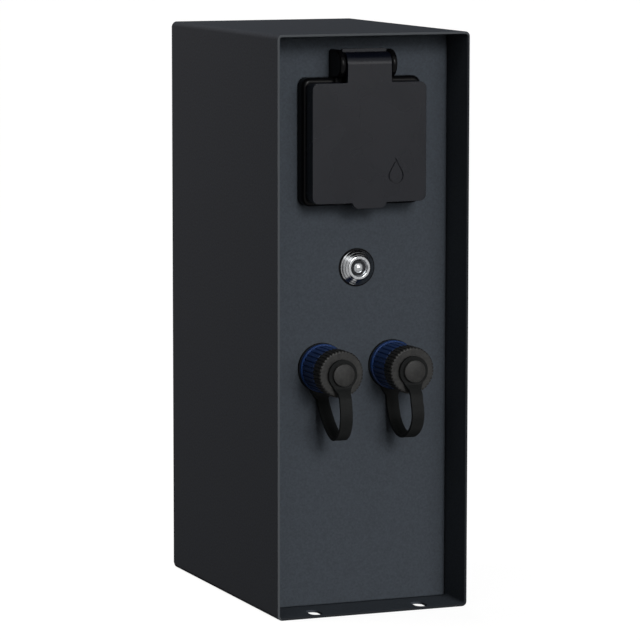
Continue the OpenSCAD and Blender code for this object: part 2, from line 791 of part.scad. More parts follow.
module contact_sleeves() {
    tube_top = well_floor - contact_seat - slip_gap;
    color(brass) for (s = sides) on_panel(s * pin_pitch / 2, socket_z) difference() {
        union() {
            translate([0, 0, contact_back + 1]) cylinder(d = contact_d, h = tube_top - contact_back - 1);
            translate([0, 0, contact_back + contact_block / 2])
                cube([contact_block, contact_block, contact_block], center = true);
        }
        translate([0, 0, insert_back - 2]) cylinder(d = contact_bore_d, h = tube_top - insert_back + 3);
    }
}

// A sprung U of strip metal: two tongues along the well with noses that grip the plug's earth strips
module earth_clip() {
    back = insert_back - slip_gap - clip_t / 2;
    upper = [[back, clip_reach], [well_floor + 5, clip_reach], [collar_front - 5, clip_reach - 3.2],
        [collar_front - 2, clip_reach - 0.6]];
    lower = [for (i = [len(upper) - 1 : -1 : 0]) [upper[i].x, -upper[i].y]];
    color(brass) side_on(0, socket_z, clip_w) polygon(strip(concat(lower, upper), clip_t));
}

module socket_screws() {
    color(zinc) on_panel(0, socket_z, flange_front - m3[2] - 0.2) flange_screw_places()
        pan_screw(m3, flange_front - m3[2] - 0.2 + sheet_t + 4);
}

module socket_nuts() {
    color(zinc) on_panel(0, socket_z, -sheet_t - m3_nut[1]) flange_screw_places()
        hex_nut(m3_nut, m3[0] + fit_gap);
}

// Lid and hinge
module lid_shell() {
    on_panel(0, lid_mid_z, lid_back) difference() {
        hull() {
            linear_extrude(lid_depth - lid_edge_r) rounded_rect(lid_w, lid_h, lid_r, $fn = hull_fn);
            for (a = [30, 60, 90])
                linear_extrude(lid_depth - lid_edge_r * (1 - sin(a)))
                    rounded_rect(lid_w - 2 * lid_edge_r * (1 - cos(a)),
                        lid_h - 2 * lid_edge_r * (1 - cos(a)), lid_r - lid_edge_r * (1 - cos(a)), $fn = hull_fn);
        }
        translate([0, 0, -1]) linear_extrude(lid_depth - lid_wall + 1)
            rounded_rect(lid_w - 2 * lid_wall, lid_h - 2 * lid_wall, lid_r - lid_wall + 0.6);
    }
}

module lid_neck() {
    foot = lid_top_z - lid_edge_r - 2;
    inner = hood_r - neck_t;
    side_on(0, 0, neck_w) {
        translate([lid_front - neck_t, foot]) square([neck_t, hinge_z - foot]);
        translate([hinge_f, hinge_z]) polygon(concat(arc(hood_r, 0, 100, 24), arc(inner, 100, 0, 16)));
    }
    for (s = sides) side_on(s * (neck_w / 2 - lug_w / 2), hinge_z, lug_w) {
        translate([hinge_f, 0]) circle(lug_r);
        translate([hinge_f, -lug_r * 0.7]) square([inner + 0.5, lug_r * 1.4]);
    }
}

module finger_tab() {
    on_panel(0, lid_mid_z - lid_h / 2, lid_front - tab_t) linear_extrude(tab_t - 0.4) {
        translate([0, tab_drop / 2 + 1]) rounded_rect(tab_w, 3 * tab_drop + 2, tab_drop * 0.9);
    }
}

module socket_lid() {
    color(black_plastic) difference() {
        union() {
            lid_shell();
            lid_neck();
            difference() {
                finger_tab();
                on_panel(0, lid_mid_z, lid_back - 1) linear_extrude(lid_depth + 1 - lid_wall)
                    square([lid_w - 2 * lid_wall, lid_h - 2 * lid_wall], center = true);
            }
        }
        translate([0, panel_y - hinge_f, hinge_z]) rotate([0, 90, 0])
            cylinder(r = hinge_pin_r + run_gap, h = housing_w, center = true);
    }
}

module lid_seal() {
    color(rubber_black) on_panel(0, socket_z, lid_front - lid_wall - seal_t)
        ring(collar_d + seal_w, collar_d - seal_w, seal_t);
}

module hinge_pin() {
    color(zinc) translate([0, panel_y - hinge_f, hinge_z]) rotate([0, 90, 0])
        cylinder(r = hinge_pin_r, h = 2 * pin_end_x, center = true);
}

module hinge_spring() {
    color(zinc) translate([0, panel_y - hinge_f, hinge_z])
        tube(helix(spring_r, 2 * spring_half, spring_turns, 12), spring_wire_r, 6);
}

// Push-button switch
module switch_bezel() {
    head_r = head_d / 2;
    rim_r = rim_d / 2;
    button_r = button_d / 2;
    flank = [for (i = [0 : 6]) let (a = 90 * i / 6)
        [rim_r + (head_r - rim_r) * cos(a), head_base + head_step + (head_h - head_step) * sin(a)]];
    color(stainless) on_panel(0, switch_z) rotate_extrude() polygon(concat(
        [[barrel_d / 2, barrel_back], [barrel_d / 2, head_base], [head_r, head_base]], flank,
        [[button_r + run_gap, head_front], [button_r + run_gap, shoulder_back],
        [cavity_r, shoulder_back], [cavity_r, barrel_back]]));
}

module switch_gasket() {
    color(rubber_black) on_panel(0, switch_z) ring(switch_gasket_d, barrel_d + 0.2, switch_gasket_t);
}

module switch_button() {
    button_r = button_d / 2;
    face_r = button_r - light_ring_w;
    top = head_front + plunger_proud;
    ring_floor = top - light_ring_t;
    dome = [for (i = [0 : 5]) let (a = 90 * i / 5) [face_r * cos(a), top - 0.5 + 0.5 * sin(a)]];
    flange_top = shoulder_back - free_gap;
    color(stainless) on_panel(0, switch_z) rotate_extrude() polygon(concat(
        [[0, flange_top - plunger_flange_t], [plunger_flange_r, flange_top - plunger_flange_t],
        [plunger_flange_r, flange_top], [button_r, flange_top], [button_r, ring_floor],
        [face_r, ring_floor]], dome));
}

module switch_light_ring() {
    top = head_front + plunger_proud - 0.3;
    bottom = head_front + plunger_proud - light_ring_t;
    color("#3a3d40") on_panel(0, switch_z, bottom)
        ring(button_d, button_d - 2 * light_ring_w + 2 * fit_gap, top - bottom);
}

module switch_nut() {
    nut_h = 3;
    color(zinc) on_panel(0, switch_z, -sheet_t - nut_h)
        hex_nut([20, nut_h], barrel_d / 2 + fit_gap);
}

module switch_body() {
    color(black_plastic) on_panel(0, switch_z) {
        translate([0, 0, switch_back]) cylinder(d = barrel_d - 1, h = barrel_back - slip_gap - switch_back);
        translate([0, 0, switch_back]) cylinder(r = cavity_r - slip_gap, h = switch_top - switch_back);
    }
}

module switch_spring() {
    top = shoulder_back - free_gap - plunger_flange_t - slip_gap;
    bottom = switch_top + slip_gap;
    wire = 0.35;
    color(zinc) on_panel(0, switch_z, (top + bottom) / 2) rotate([0, 90, 0])
        tube(helix(4, top - bottom - 2 * wire, 4, 12), wire, 6);
}

module switch_terminals() {
    color(brass) for (s = sides)
        on_panel(s * terminal_x, switch_z, switch_back - terminal_len)
            translate([-1.4, -0.3, 0]) cube([2.8, 0.6, terminal_len]);
}

// Round connectors: side is -1 for the left one and 1 for the right one
module at_connector(side) {
    on_panel(side * connector_pitch / 2, connector_z) children();
}

module connector_body(side) {
    color(connector_blue) at_connector(side) difference() {
        union() {
            translate([0, 0, shank_back]) cylinder(d = shank_d, h = body_base - shank_back + eps);
            translate([0, 0, body_base]) cylinder(d = body_flange_d, h = body_flange_t);
            translate([0, 0, body_base + body_flange_t - eps])
                linear_extrude(barrel_front - body_base - body_flange_t + eps)
                    polygon(ridges(body_d / 2, rib_depth, body_ribs));
            translate([0, 0, barrel_front - eps]) cylinder(d = spigot_d, h = thread_len + eps);
        }
        translate([0, 0, port_floor]) cylinder(d = port_d, h = body_front);
        translate([0, 0, shank_back - 1]) cylinder(d = carrier_d + 2 * slip_gap, h = port_floor - shank_back + 2);
    }
}

module contact_places() {
    for (a = [90, 210, 330]) rotate(a) translate([contact_pin_circle, 0]) children();
}

module contact_carrier(side) {
    color(black_plastic) at_connector(side) difference() {
        union() {
            translate([0, 0, carrier_back]) cylinder(d = carrier_d, h = port_floor - carrier_back + eps);
            translate([0, 0, port_floor]) cylinder(d = port_d - 2 * slip_gap, h = carrier_face_t);
        }
        contact_places() translate([0, 0, carrier_back - 1])
            cylinder(r = contact_pin_r + fit_gap, h = port_floor - carrier_back + carrier_face_t + 2);
    }
}

module contact_pins(side) {
    color(brass) at_connector(side) contact_places() translate([0, 0, contact_pin_back])
        cylinder(r = contact_pin_r, h = contact_pin_front - contact_pin_back);
}

module connector_nut(side) {
    nut_h = 4;
    color(zinc) at_connector(side) translate([0, 0, -sheet_t - nut_h])
        hex_nut([22, nut_h], shank_d / 2 + fit_gap);
}

module cap(side) {
    stud_r_out = stud_d / 2;
    corner = [for (i = [0 : 4]) let (a = 90 * i / 4)
        [stud_r_out - stud_round + stud_round * cos(a),
        stud_head_back + stud_head_t - stud_round + stud_round * sin(a)]];
    color(black_plastic) at_connector(side) difference() {
        union() {
            translate([0, 0, cap_back]) linear_extrude(cap_len)
                polygon(ridges(cap_d / 2, knurl_depth, cap_ridges));
            rotate_extrude() polygon(concat([[0, cap_front - eps], [stud_neck_r, cap_front - eps],
                [stud_neck_r, stud_head_back], [stud_r_out, stud_head_back]], corner,
                [[0, stud_head_back + stud_head_t]]));
        }
        translate([0, 0, cap_back - 1]) cylinder(d = spigot_d + 2 * run_gap, h = cap_floor - cap_back + 1);
    }
}

module cap_seal(side) {
    color(rubber_black) at_connector(side) translate([0, 0, cap_floor - cap_seal_t])
        ring(spigot_d - 0.2, port_d - 1.5, cap_seal_t);
}

// The flat outline of a strap, seen from its side
module strap_outline(route) {
    polygon(strip(spline(route, 3), strap_t));
}

// The part of a strap's outline that goes with the eyelet
module tail_zone() {
    translate([cap_front, -eyelet_tail]) square([20, eyelet_tail + 5]);
}

module cap_strap(side, route) {
    color(rubber_black) {
        at_connector(side) ring(strap_ring_d, shank_d + 0.4, strap_t);
        translate([0, 0, connector_z]) side_on(side * connector_pitch / 2, 0, strap_w) difference() {
            strap_outline(route);
            tail_zone();
        }
    }
}

module strap_eyelet(side, route) {
    color(rubber_black) difference() {
        union() {
            at_connector(side) translate([0, 0, eyelet_back]) cylinder(d = eyelet_d, h = eyelet_t);
            translate([0, 0, connector_z]) side_on(side * connector_pitch / 2, 0, strap_w) intersection() {
                strap_outline(route);
                tail_zone();
            }
        }
        at_connector(side) translate([0, 0, eyelet_back - 1])
            cylinder(r = stud_neck_r + run_gap, h = eyelet_t + 2);
    }
}

// Inner leads, from a terminal's entry up over the plate to the piece that they feed
function terminal_start(slot) = [slot * terminal_pitch, lead_y, rail_z + wire_seat];
// rise is the height at which the lead turns forward; the end points straight at the piece
function lead_path(slot, rise, end) =
    let (s = terminal_start(slot))
    [s, s + [0, 0, 6], s + [0, 0, 13], [s.x, lead_y - 3, rise],
        [(s.x + end.x) / 2, (lead_y + end.y) / 2 + 6, (rise + end.z) / 2 + 8],
        end + [0, 11, 0], end + [0, 5, 0], end];

module lead(slot, rise, end) {
    tube(spline(lead_path(slot, rise, end), 5), wire_r);
}

module line_leads() {
    switch_end_y = panel_y - switch_back + terminal_len + 0.1;
    color("#5a3a22") {
        lead(-1, socket_lead_z, [-pin_pitch / 2, panel_y - contact_back + 0.1, socket_z]);
        lead(-2, switch_lead_z, [-terminal_x, switch_end_y, switch_z]);
        lead(2, switch_lead_z, [terminal_x, switch_end_y, switch_z]);
    }
}

module neutral_lead() {
    color("#2f5fb0") lead(1, socket_lead_z, [pin_pitch / 2, panel_y - contact_back + 0.1, socket_z]);
}

module earth_leads() {
    low = [0, lead_y, rail_z - wire_seat];
    lug = [earth_x, lug_barrel_y, sheet_t + 2.2];
    color("#7fae3a") {
        lead(0, earth_lead_z, [0, panel_y - insert_back + slip_gap + clip_t + 0.1, socket_z]);
        tube(spline([low, low - [0, 0, 7], low - [0, 0, 14], low - [0, 0, 18],
            [earth_x * 0.55, lead_y + 6, 54],
            [earth_x, lug_barrel_y + 4, 34], lug + [0, 0, 14], lug + [0, 0, 7], lug], 5), wire_r);
    }
}

module connector_leads() {
    color(rubber_black) for (s = sides)
        lead(3 * s, connector_lead_z, [s * connector_pitch / 2, panel_y - contact_pin_back + 0.1, connector_z]);
}

housing_jacket();
front_panel();
panel_nuts();
rear_cover();
rear_cover_gasket();
rear_cover_screws();
terminal_plate();
gland_shelf();
bracket_screws();
bracket_nuts();
gland_body();
gland_locknut();
gland_seal();
gland_dome_nut();
terminal_rail();
line_terminals();
neutral_terminals();
earth_terminal();
rail_end_stops();
earth_lug();
earth_nut();
socket_frame();
socket_gasket();
socket_insert();
contact_sleeves();
earth_clip();
socket_screws();
socket_nuts();
socket_lid();
lid_seal();
hinge_pin();
hinge_spring();
switch_bezel();
switch_gasket();
switch_button();
switch_light_ring();
switch_nut();
switch_body();
switch_spring();
switch_terminals();
connector_body(-1);  // left_connector_body
connector_body(1);  // right_connector_body
contact_carrier(-1);  // left_contact_carrier
contact_carrier(1);  // right_contact_carrier
contact_pins(-1);  // left_contact_pins
contact_pins(1);  // right_contact_pins
connector_nut(-1);  // left_connector_nut
connector_nut(1);  // right_connector_nut
cap(-1);  // left_cap
cap(1);  // right_cap
cap_seal(-1);  // left_cap_seal
cap_seal(1);  // right_cap_seal
cap_strap(-1, left_route);  // left_cap_strap
cap_strap(1, right_route);  // right_cap_strap
strap_eyelet(-1, left_route);  // left_strap_eyelet
strap_eyelet(1, right_route);  // right_strap_eyelet
line_leads();
neutral_lead();
earth_leads();
connector_leads();
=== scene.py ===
# %% [markdown]
# # A garden socket post
# The post is a folded steel box with a panel set back in its open front. The panel carries a
# square outlet under a sprung lid, a steel push button and two blue connectors with screw caps.
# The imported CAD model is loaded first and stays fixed, so that every piece made below lands on
# the part that really carries it.

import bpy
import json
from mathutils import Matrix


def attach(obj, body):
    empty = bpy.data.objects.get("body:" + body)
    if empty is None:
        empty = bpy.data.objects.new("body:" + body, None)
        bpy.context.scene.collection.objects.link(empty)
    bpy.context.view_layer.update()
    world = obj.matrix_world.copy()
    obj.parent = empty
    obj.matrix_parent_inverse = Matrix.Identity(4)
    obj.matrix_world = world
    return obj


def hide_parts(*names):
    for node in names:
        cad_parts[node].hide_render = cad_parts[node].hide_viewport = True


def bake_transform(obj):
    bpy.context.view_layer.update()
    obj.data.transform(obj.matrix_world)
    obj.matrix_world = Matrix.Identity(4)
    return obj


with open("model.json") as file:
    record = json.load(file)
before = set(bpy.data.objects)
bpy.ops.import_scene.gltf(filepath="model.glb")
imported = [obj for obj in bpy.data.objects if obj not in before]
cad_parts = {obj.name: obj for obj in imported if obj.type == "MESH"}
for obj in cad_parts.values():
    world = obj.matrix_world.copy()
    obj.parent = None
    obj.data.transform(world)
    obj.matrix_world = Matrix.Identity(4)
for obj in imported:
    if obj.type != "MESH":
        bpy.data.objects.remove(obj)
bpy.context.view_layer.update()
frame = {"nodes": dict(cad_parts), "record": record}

# %% [markdown]
# ## The camera
# The photograph was taken from the left and a little above, from about two metres, with a long
# lens: the box's upright edges stay nearly parallel. A camera can be aimed with a Track To
# constraint, but its turn is written out here, because a small roll belongs to it as well.

# %% The photograph's camera
import json
import math

import bmesh
import bpy
from mathutils import Matrix, Vector
from mathutils.geometry import interpolate_bezier

MM = 0.001
LENS, SENSOR = 211.55, 36.0
VIEW_END = 100.0
scene = bpy.context.scene
camera_place = Vector((-745.2, -1840.7, 395.1)) * MM
azimuth = math.radians(-22.10)
elevation = math.radians(7.21)
roll = math.radians(0.06)
away = Vector((math.sin(azimuth) * math.cos(elevation),
               -math.cos(azimuth) * math.cos(elevation),
               math.sin(elevation)))
level_right = Vector((0, 0, 1)).cross(away).normalized()
level_up = away.cross(level_right)
right = level_right * math.cos(roll) + level_up * math.sin(roll)
up = level_up * math.cos(roll) - level_right * math.sin(roll)

camera_data = bpy.data.cameras.new("camera")
camera_data.lens = LENS
camera_data.sensor_width = SENSOR
camera_data.clip_end = VIEW_END
camera = bpy.data.objects.new("camera", camera_data)
camera_turn = Matrix((right, up, away)).transposed().to_4x4()
camera.matrix_world = Matrix.Translation(camera_place) @ camera_turn
scene.collection.objects.link(camera)
scene.camera = camera
print("camera looks from", [round(v, 3) for v in camera.location], "lens", camera_data.lens)

# %% [markdown]
# ## Floor and light
# A catalogue picture has a white ground and soft light. A white floor would throw much light up
# into the dark recess, so the floor is a mid grey for the light that bounces, and what the camera
# and the reflections see of it is lifted to white. It still takes the post's shadow.

# %% The white floor
FLOOR_HALF = 15.0
FLOOR_GREY = 0.2
FLOOR_LIFT = 0.9


def seen_rays(tree):
    """1 for rays from the camera, in a mirror and through glass, 0 for light that bounces."""
    path = tree.nodes.new("ShaderNodeLightPath")
    first = tree.nodes.new("ShaderNodeMath")
    first.operation = "MAXIMUM"
    tree.links.new(path.outputs["Is Camera Ray"], first.inputs[0])
    tree.links.new(path.outputs["Is Glossy Ray"], first.inputs[1])
    both = tree.nodes.new("ShaderNodeMath")
    both.operation = "MAXIMUM"
    tree.links.new(first.outputs[0], both.inputs[0])
    tree.links.new(path.outputs["Is Transmission Ray"], both.inputs[1])
    return both.outputs[0]


def floor_paint():
    """A matt floor that looks white and bounces little."""
    material = bpy.data.materials.new("studio_floor")
    material.use_nodes = True
    tree = material.node_tree
    tree.nodes.clear()
    matt = tree.nodes.new("ShaderNodeBsdfDiffuse")
    matt.inputs["Color"].default_value = (FLOOR_GREY, FLOOR_GREY, FLOOR_GREY, 1)
    glow = tree.nodes.new("ShaderNodeEmission")
    lift = tree.nodes.new("ShaderNodeMath")
    lift.operation = "MULTIPLY"
    lift.inputs[1].default_value = FLOOR_LIFT
    tree.links.new(seen_rays(tree), lift.inputs[0])
    tree.links.new(lift.outputs[0], glow.inputs["Strength"])
    total = tree.nodes.new("ShaderNodeAddShader")
    tree.links.new(matt.outputs[0], total.inputs[0])
    tree.links.new(glow.outputs[0], total.inputs[1])
    output = tree.nodes.new("ShaderNodeOutputMaterial")
    tree.links.new(total.outputs[0], output.inputs["Surface"])
    return material


floor_shape = bmesh.new()
bmesh.ops.create_grid(floor_shape, x_segments=1, y_segments=1, size=FLOOR_HALF)
floor_mesh = bpy.data.meshes.new("floor")
floor_shape.to_mesh(floor_mesh)
floor_shape.free()
floor_mesh.materials.append(floor_paint())
floor = bpy.data.objects.new("floor", floor_mesh)
scene.collection.objects.link(floor)
print("floor of", 2 * FLOOR_HALF, "m")

# %% [markdown]
# The main light comes from the front and above, and a second one, wider and low, from the front and
# a little to the right: the panel is then lit with a soft shadow under the housing's upper edge, and
# the walls of its recess stay dark. Both are sun lamps, because a sun lights the far floor as much as
# the near one. Two weak suns add a gleam on the button and some light on the top. The left side gets
# a warm area lamp that stands behind and above the post, so that it grows darker towards its foot.

# %% Lamps and world
LAMP_TARGET = Vector((0, 0, 0.2))
WORLD_FILL = 0.06


def place_lamp(name, data, place, towards):
    """Puts a lamp in the scene, turned to shine from its place towards a point."""
    lamp = bpy.data.objects.new(name, data)
    lamp.location = place
    lamp.rotation_euler = (Vector(place) - towards).to_track_quat("Z", "Y").to_euler()
    scene.collection.objects.link(lamp)
    return lamp


def sun_lamp(name, source, strength, spread):
    """A sun that shines from a direction; spread is how wide it looks, in degrees."""
    data = bpy.data.lights.new(name, "SUN")
    data.energy = strength
    data.angle = math.radians(spread)
    return place_lamp(name, data, source, Vector((0, 0, 0)))


def soft_lamp(name, place, size, power, tone):
    """A square area lamp that points at the post."""
    data = bpy.data.lights.new(name, "AREA")
    data.size = size
    data.energy = power
    data.color = tone
    return place_lamp(name, data, place, LAMP_TARGET)


lamps = [
    sun_lamp("key_sun", source=(0.02, -0.92, 0.38), strength=1.85, spread=18),
    sun_lamp("front_sun", source=(0.16, -1.0, 0.09), strength=1.9, spread=40),
    sun_lamp("gleam_sun", source=(-0.5, -0.5, 0.7), strength=0.25, spread=26),
    sun_lamp("top_sun", source=(0, 0.5, 0.87), strength=0.45, spread=20),
    soft_lamp("side_lamp", place=(-0.6, 0.35, 0.85), size=0.6, power=5.6, tone=(1.0, 0.85, 0.78)),
]
world = bpy.data.worlds.new("studio")
scene.world = world
world.use_nodes = True
backdrop = world.node_tree.nodes["Background"]
backdrop.inputs["Color"].default_value = (1, 1, 1, 1)
sky = world.node_tree.nodes.new("ShaderNodeMapRange")
sky.inputs["To Min"].default_value = WORLD_FILL
sky.inputs["To Max"].default_value = 1
world.node_tree.links.new(seen_rays(world.node_tree), sky.inputs["Value"])
world.node_tree.links.new(sky.outputs["Result"], backdrop.inputs["Strength"])
scene.view_settings.view_transform = "Standard"
print("lamps:", ", ".join(lamp.name for lamp in lamps))

# %% [markdown]
# ## Finishes
# Powder coat, moulded plastic and rubber all have a fine grain, a slow drift of gloss and a slight
# change of colour. The effect is one node group: each finish places it with its own grain size.
# Noise on Object coordinates runs through a piece without seams, so nothing needs unwrapping.

# %% The grain that several finishes share
NOISE_LOW, NOISE_HIGH = 0.3, 0.7


def group_socket(group, name, kind, way):
    """A named socket on a node group."""
    return group.interface.new_socket(name=name, in_out=way, socket_type=kind)


def grain_group():
    """Tint, Height and Drift from one place and two sizes, all from 0 to 1."""
    group = bpy.data.node_groups.new("surface_grain", "ShaderNodeTree")
    group_socket(group, "Place", "NodeSocketVector", "INPUT")
    group_socket(group, "Grain Size", "NodeSocketFloat", "INPUT")
    group_socket(group, "Drift Size", "NodeSocketFloat", "INPUT")
    for name in ("Tint", "Height", "Drift"):
        group_socket(group, name, "NodeSocketFloat", "OUTPUT")
    nodes, links = group.nodes, group.links
    inside = nodes.new("NodeGroupInput")
    outside = nodes.new("NodeGroupOutput")

    def noise(size_name, share, detail):
        scale = nodes.new("ShaderNodeMath")
        scale.operation = "DIVIDE"
        scale.inputs[0].default_value = share
        links.new(inside.outputs[size_name], scale.inputs[1])
        texture = nodes.new("ShaderNodeTexNoise")
        texture.inputs["Detail"].default_value = detail
        links.new(inside.outputs["Place"], texture.inputs["Vector"])
        links.new(scale.outputs[0], texture.inputs["Scale"])
        return texture.outputs["Fac"]

    def spread(value):
        stretch = nodes.new("ShaderNodeMapRange")
        stretch.inputs["From Min"].default_value = NOISE_LOW
        stretch.inputs["From Max"].default_value = NOISE_HIGH
        links.new(value, stretch.inputs["Value"])
        return stretch.outputs["Result"]

    links.new(spread(noise("Grain Size", share=0.5, detail=3)), outside.inputs["Tint"])
    links.new(noise("Grain Size", share=1.0, detail=2), outside.inputs["Height"])
    links.new(spread(noise("Drift Size", share=1.0, detail=2)), outside.inputs["Drift"])
    return group


surface_grain = grain_group()
print("shared effect:", surface_grain.name)

# %% [markdown]
# A finish lies between two colours and two values of roughness, and the grain lifts its surface a
# little. The coat on the steel is nearly matt. The black mouldings are dark and fairly smooth, so
# what is seen of them is mostly the reflected white of the studio, as on the real ones.

# %% A finish made with the grain
finishes = {}


def srgb(red, green, blue):
    """A colour as a screen shows it, 0 to 255, as Blender's linear values."""
    def linear(value):
        share = value / 255
        return share / 12.92 if share <= 0.04045 else ((share + 0.055) / 1.055) ** 2.4
    return (linear(red), linear(green), linear(blue), 1.0)


def finish(name, dark, light, gloss, grain, drift, bump, specular=0.5, metallic=0.0):
    """Adds a finish between two colours and two roughness values. Sizes are in mm."""
    material = bpy.data.materials.new(name)
    material.use_nodes = True
    nodes, links = material.node_tree.nodes, material.node_tree.links
    shader = nodes["Principled BSDF"]
    shader.inputs["Specular IOR Level"].default_value = specular
    shader.inputs["Metallic"].default_value = metallic
    place = nodes.new("ShaderNodeTexCoord")
    place.name = "place"
    effect = nodes.new("ShaderNodeGroup")
    effect.node_tree = surface_grain
    effect.inputs["Grain Size"].default_value = grain * MM
    effect.inputs["Drift Size"].default_value = drift * MM
    links.new(place.outputs["Object"], effect.inputs["Place"])
    colour = nodes.new("ShaderNodeMix")
    colour.name = "tint"
    colour.data_type = "RGBA"
    colour.inputs[6].default_value = srgb(*dark)
    colour.inputs[7].default_value = srgb(*light)
    links.new(effect.outputs["Tint"], colour.inputs[0])
    links.new(colour.outputs[2], shader.inputs["Base Color"])
    rough = nodes.new("ShaderNodeMapRange")
    rough.inputs["To Min"].default_value = gloss[0]
    rough.inputs["To Max"].default_value = gloss[1]
    links.new(effect.outputs["Drift"], rough.inputs["Value"])
    links.new(rough.outputs["Result"], shader.inputs["Roughness"])
    relief = nodes.new("ShaderNodeBump")
    relief.name = "relief"
    relief.inputs["Distance"].default_value = bump * MM
    links.new(effect.outputs["Height"], relief.inputs["Height"])
    links.new(relief.outputs["Normal"], shader.inputs["Normal"])
    finishes[name] = material


print("finishes use", surface_grain.name)

# %% The post's finishes
finish("powder_coat", dark=(55, 59, 64), light=(61, 66, 72), gloss=(0.8, 0.88),
       grain=0.5, drift=45, bump=0.03, specular=0.0)
finish("lid_plastic", dark=(6, 8, 15), light=(9, 11, 18), gloss=(0.24, 0.32),
       grain=0.3, drift=25, bump=0.01, specular=0.145)
finish("black_plastic", dark=(5, 5, 6), light=(8, 8, 9), gloss=(0.1, 0.16),
       grain=0.4, drift=20, bump=0.01, specular=0.05)
finish("cap_plastic", dark=(11, 11, 11), light=(31, 31, 30), gloss=(0.45, 0.6),
       grain=0.9, drift=12, bump=0.05, specular=0.18)
finish("strap_rubber", dark=(15, 16, 16), light=(19, 20, 20), gloss=(0.5, 0.62),
       grain=0.4, drift=9, bump=0.03, specular=0.05)
finish("soft_rubber", dark=(8, 8, 9), light=(12, 12, 13), gloss=(0.6, 0.75),
       grain=0.5, drift=10, bump=0.05, specular=0.05)
finish("connector_blue", dark=(19, 40, 78), light=(24, 48, 91), gloss=(0.3, 0.4),
       grain=0.3, drift=12, bump=0.01, specular=0.2)
finish("grey_plastic", dark=(138, 140, 142), light=(154, 156, 158), gloss=(0.45, 0.55),
       grain=0.4, drift=15, bump=0.04)
finish("terminal_blue", dark=(40, 84, 160), light=(52, 98, 176), gloss=(0.45, 0.55),
       grain=0.4, drift=12, bump=0.04)
finish("terminal_green", dark=(104, 150, 52), light=(124, 168, 66), gloss=(0.45, 0.55),
       grain=0.4, drift=12, bump=0.04)
finish("ring_plastic", dark=(24, 25, 27), light=(32, 34, 36), gloss=(0.2, 0.3),
       grain=0.6, drift=6, bump=0.01, specular=0.15)
for lead, dark, light in (("lead_brown", (84, 52, 30), (96, 62, 38)),
                          ("lead_blue", (42, 88, 168), (52, 100, 180)),
                          ("lead_green", (120, 166, 52), (136, 180, 64)),
                          ("lead_black", (18, 18, 18), (26, 26, 26))):
    finish(lead, dark, light, gloss=(0.35, 0.45), grain=0.5, drift=15, bump=0.03)
finish("zinc_steel", dark=(150, 153, 157), light=(196, 199, 203), gloss=(0.3, 0.45),
       grain=0.9, drift=8, bump=0.02, specular=0.5, metallic=1.0)
finish("brass", dark=(190, 150, 76), light=(212, 172, 94), gloss=(0.22, 0.36),
       grain=0.6, drift=8, bump=0.015, specular=0.5, metallic=1.0)
finish("polished_steel", dark=(142, 144, 146), light=(162, 164, 166), gloss=(0.14, 0.2),
       grain=0.5, drift=5, bump=0.004, specular=0.5, metallic=1.0)
print(len(finishes), "finishes")

# %% [markdown]
# ## Modelling tools
# Lengths are written in millimetres and scaled to metres when a piece is finished. Blocks are
# cubes whose edges are bevelled round. Holes and joins are cut with the Boolean modifier on two
# throw-away objects, because it keeps the wall around a hole closed.

# %% Blocks, bars and cuts
SAME_PLACE, WELD_GAP = 1e-3, 1e-4
STRAIGHT = 0.999
FLAT_ANGLE = math.radians(0.2)


def block(low, high):
    """A box between two corners."""
    bm = bmesh.new()
    size = [b - a for a, b in zip(low, high)]
    middle = [(a + b) / 2 for a, b in zip(low, high)]
    bmesh.ops.create_cube(bm, size=1)
    bmesh.ops.scale(bm, vec=size, verts=bm.verts)
    bmesh.ops.translate(bm, vec=middle, verts=bm.verts)
    return bm


def edges_along(bm, axis):
    """The straight edges that run along X, Y or Z (0, 1 or 2)."""
    return [e for e in bm.edges if abs((e.verts[1].co - e.verts[0].co).normalized()[axis]) > STRAIGHT]


def edges_at(bm, axis, value):
    """The edges that lie in one plane."""
    return [e for e in bm.edges if all(abs(v.co[axis] - value) < SAME_PLACE for v in e.verts)]


def round_edges(bm, edges, radius, segments):
    """Bevels edges to a radius."""
    bmesh.ops.bevel(bm, geom=edges, offset=radius, offset_type="OFFSET", affect="EDGES",
                    segments=segments, profile=0.5, material=-1, clamp_overlap=True)
    return bm


def bar(axis, start, end, across, radius, segments=64):
    """A round bar along X, Y or Z; across holds its other two coordinates in order."""
    bm = bmesh.new()
    bmesh.ops.create_cone(bm, cap_ends=True, segments=segments, radius1=radius, radius2=radius,
                          depth=abs(end - start))
    turn = (Matrix.Rotation(math.pi / 2, 3, "Y"), Matrix.Rotation(math.pi / 2, 3, "X"),
            Matrix.Identity(3))[axis]
    bmesh.ops.rotate(bm, matrix=turn, verts=bm.verts)
    middle = list(across)
    middle.insert(axis, (start + end) / 2)
    bmesh.ops.translate(bm, vec=middle, verts=bm.verts)
    return bm


def to_mesh(bm, name):
    """The bmesh as mesh data."""
    mesh = bpy.data.meshes.new(name)
    bm.to_mesh(mesh)
    bm.free()
    return mesh


def carve(bm, tool, operation="DIFFERENCE"):
    """Cuts a tool out of a shape; UNION joins it on, INTERSECT keeps what both fill."""
    pair = []
    for shape, name in ((bm, "worked"), (tool, "tool")):
        obj = bpy.data.objects.new(name, to_mesh(shape, name))
        scene.collection.objects.link(obj)
        pair.append(obj)
    cut = pair[0].modifiers.new("carve", "BOOLEAN")
    cut.operation = operation
    cut.solver = "EXACT"
    cut.object = pair[1]
    carved = bmesh.new()
    carved.from_object(pair[0], bpy.context.evaluated_depsgraph_get())
    for obj in pair:
        mesh = obj.data
        bpy.data.objects.remove(obj)
        bpy.data.meshes.remove(mesh)
    bmesh.ops.remove_doubles(carved, verts=carved.verts, dist=WELD_GAP)
    bmesh.ops.dissolve_limit(carved, angle_limit=FLAT_ANGLE, verts=carved.verts, edges=carved.edges)
    return carved


def join(bm, tool):
    """Joins a tool onto a shape."""
    return carve(bm, tool, "UNION")


print("tools ready")

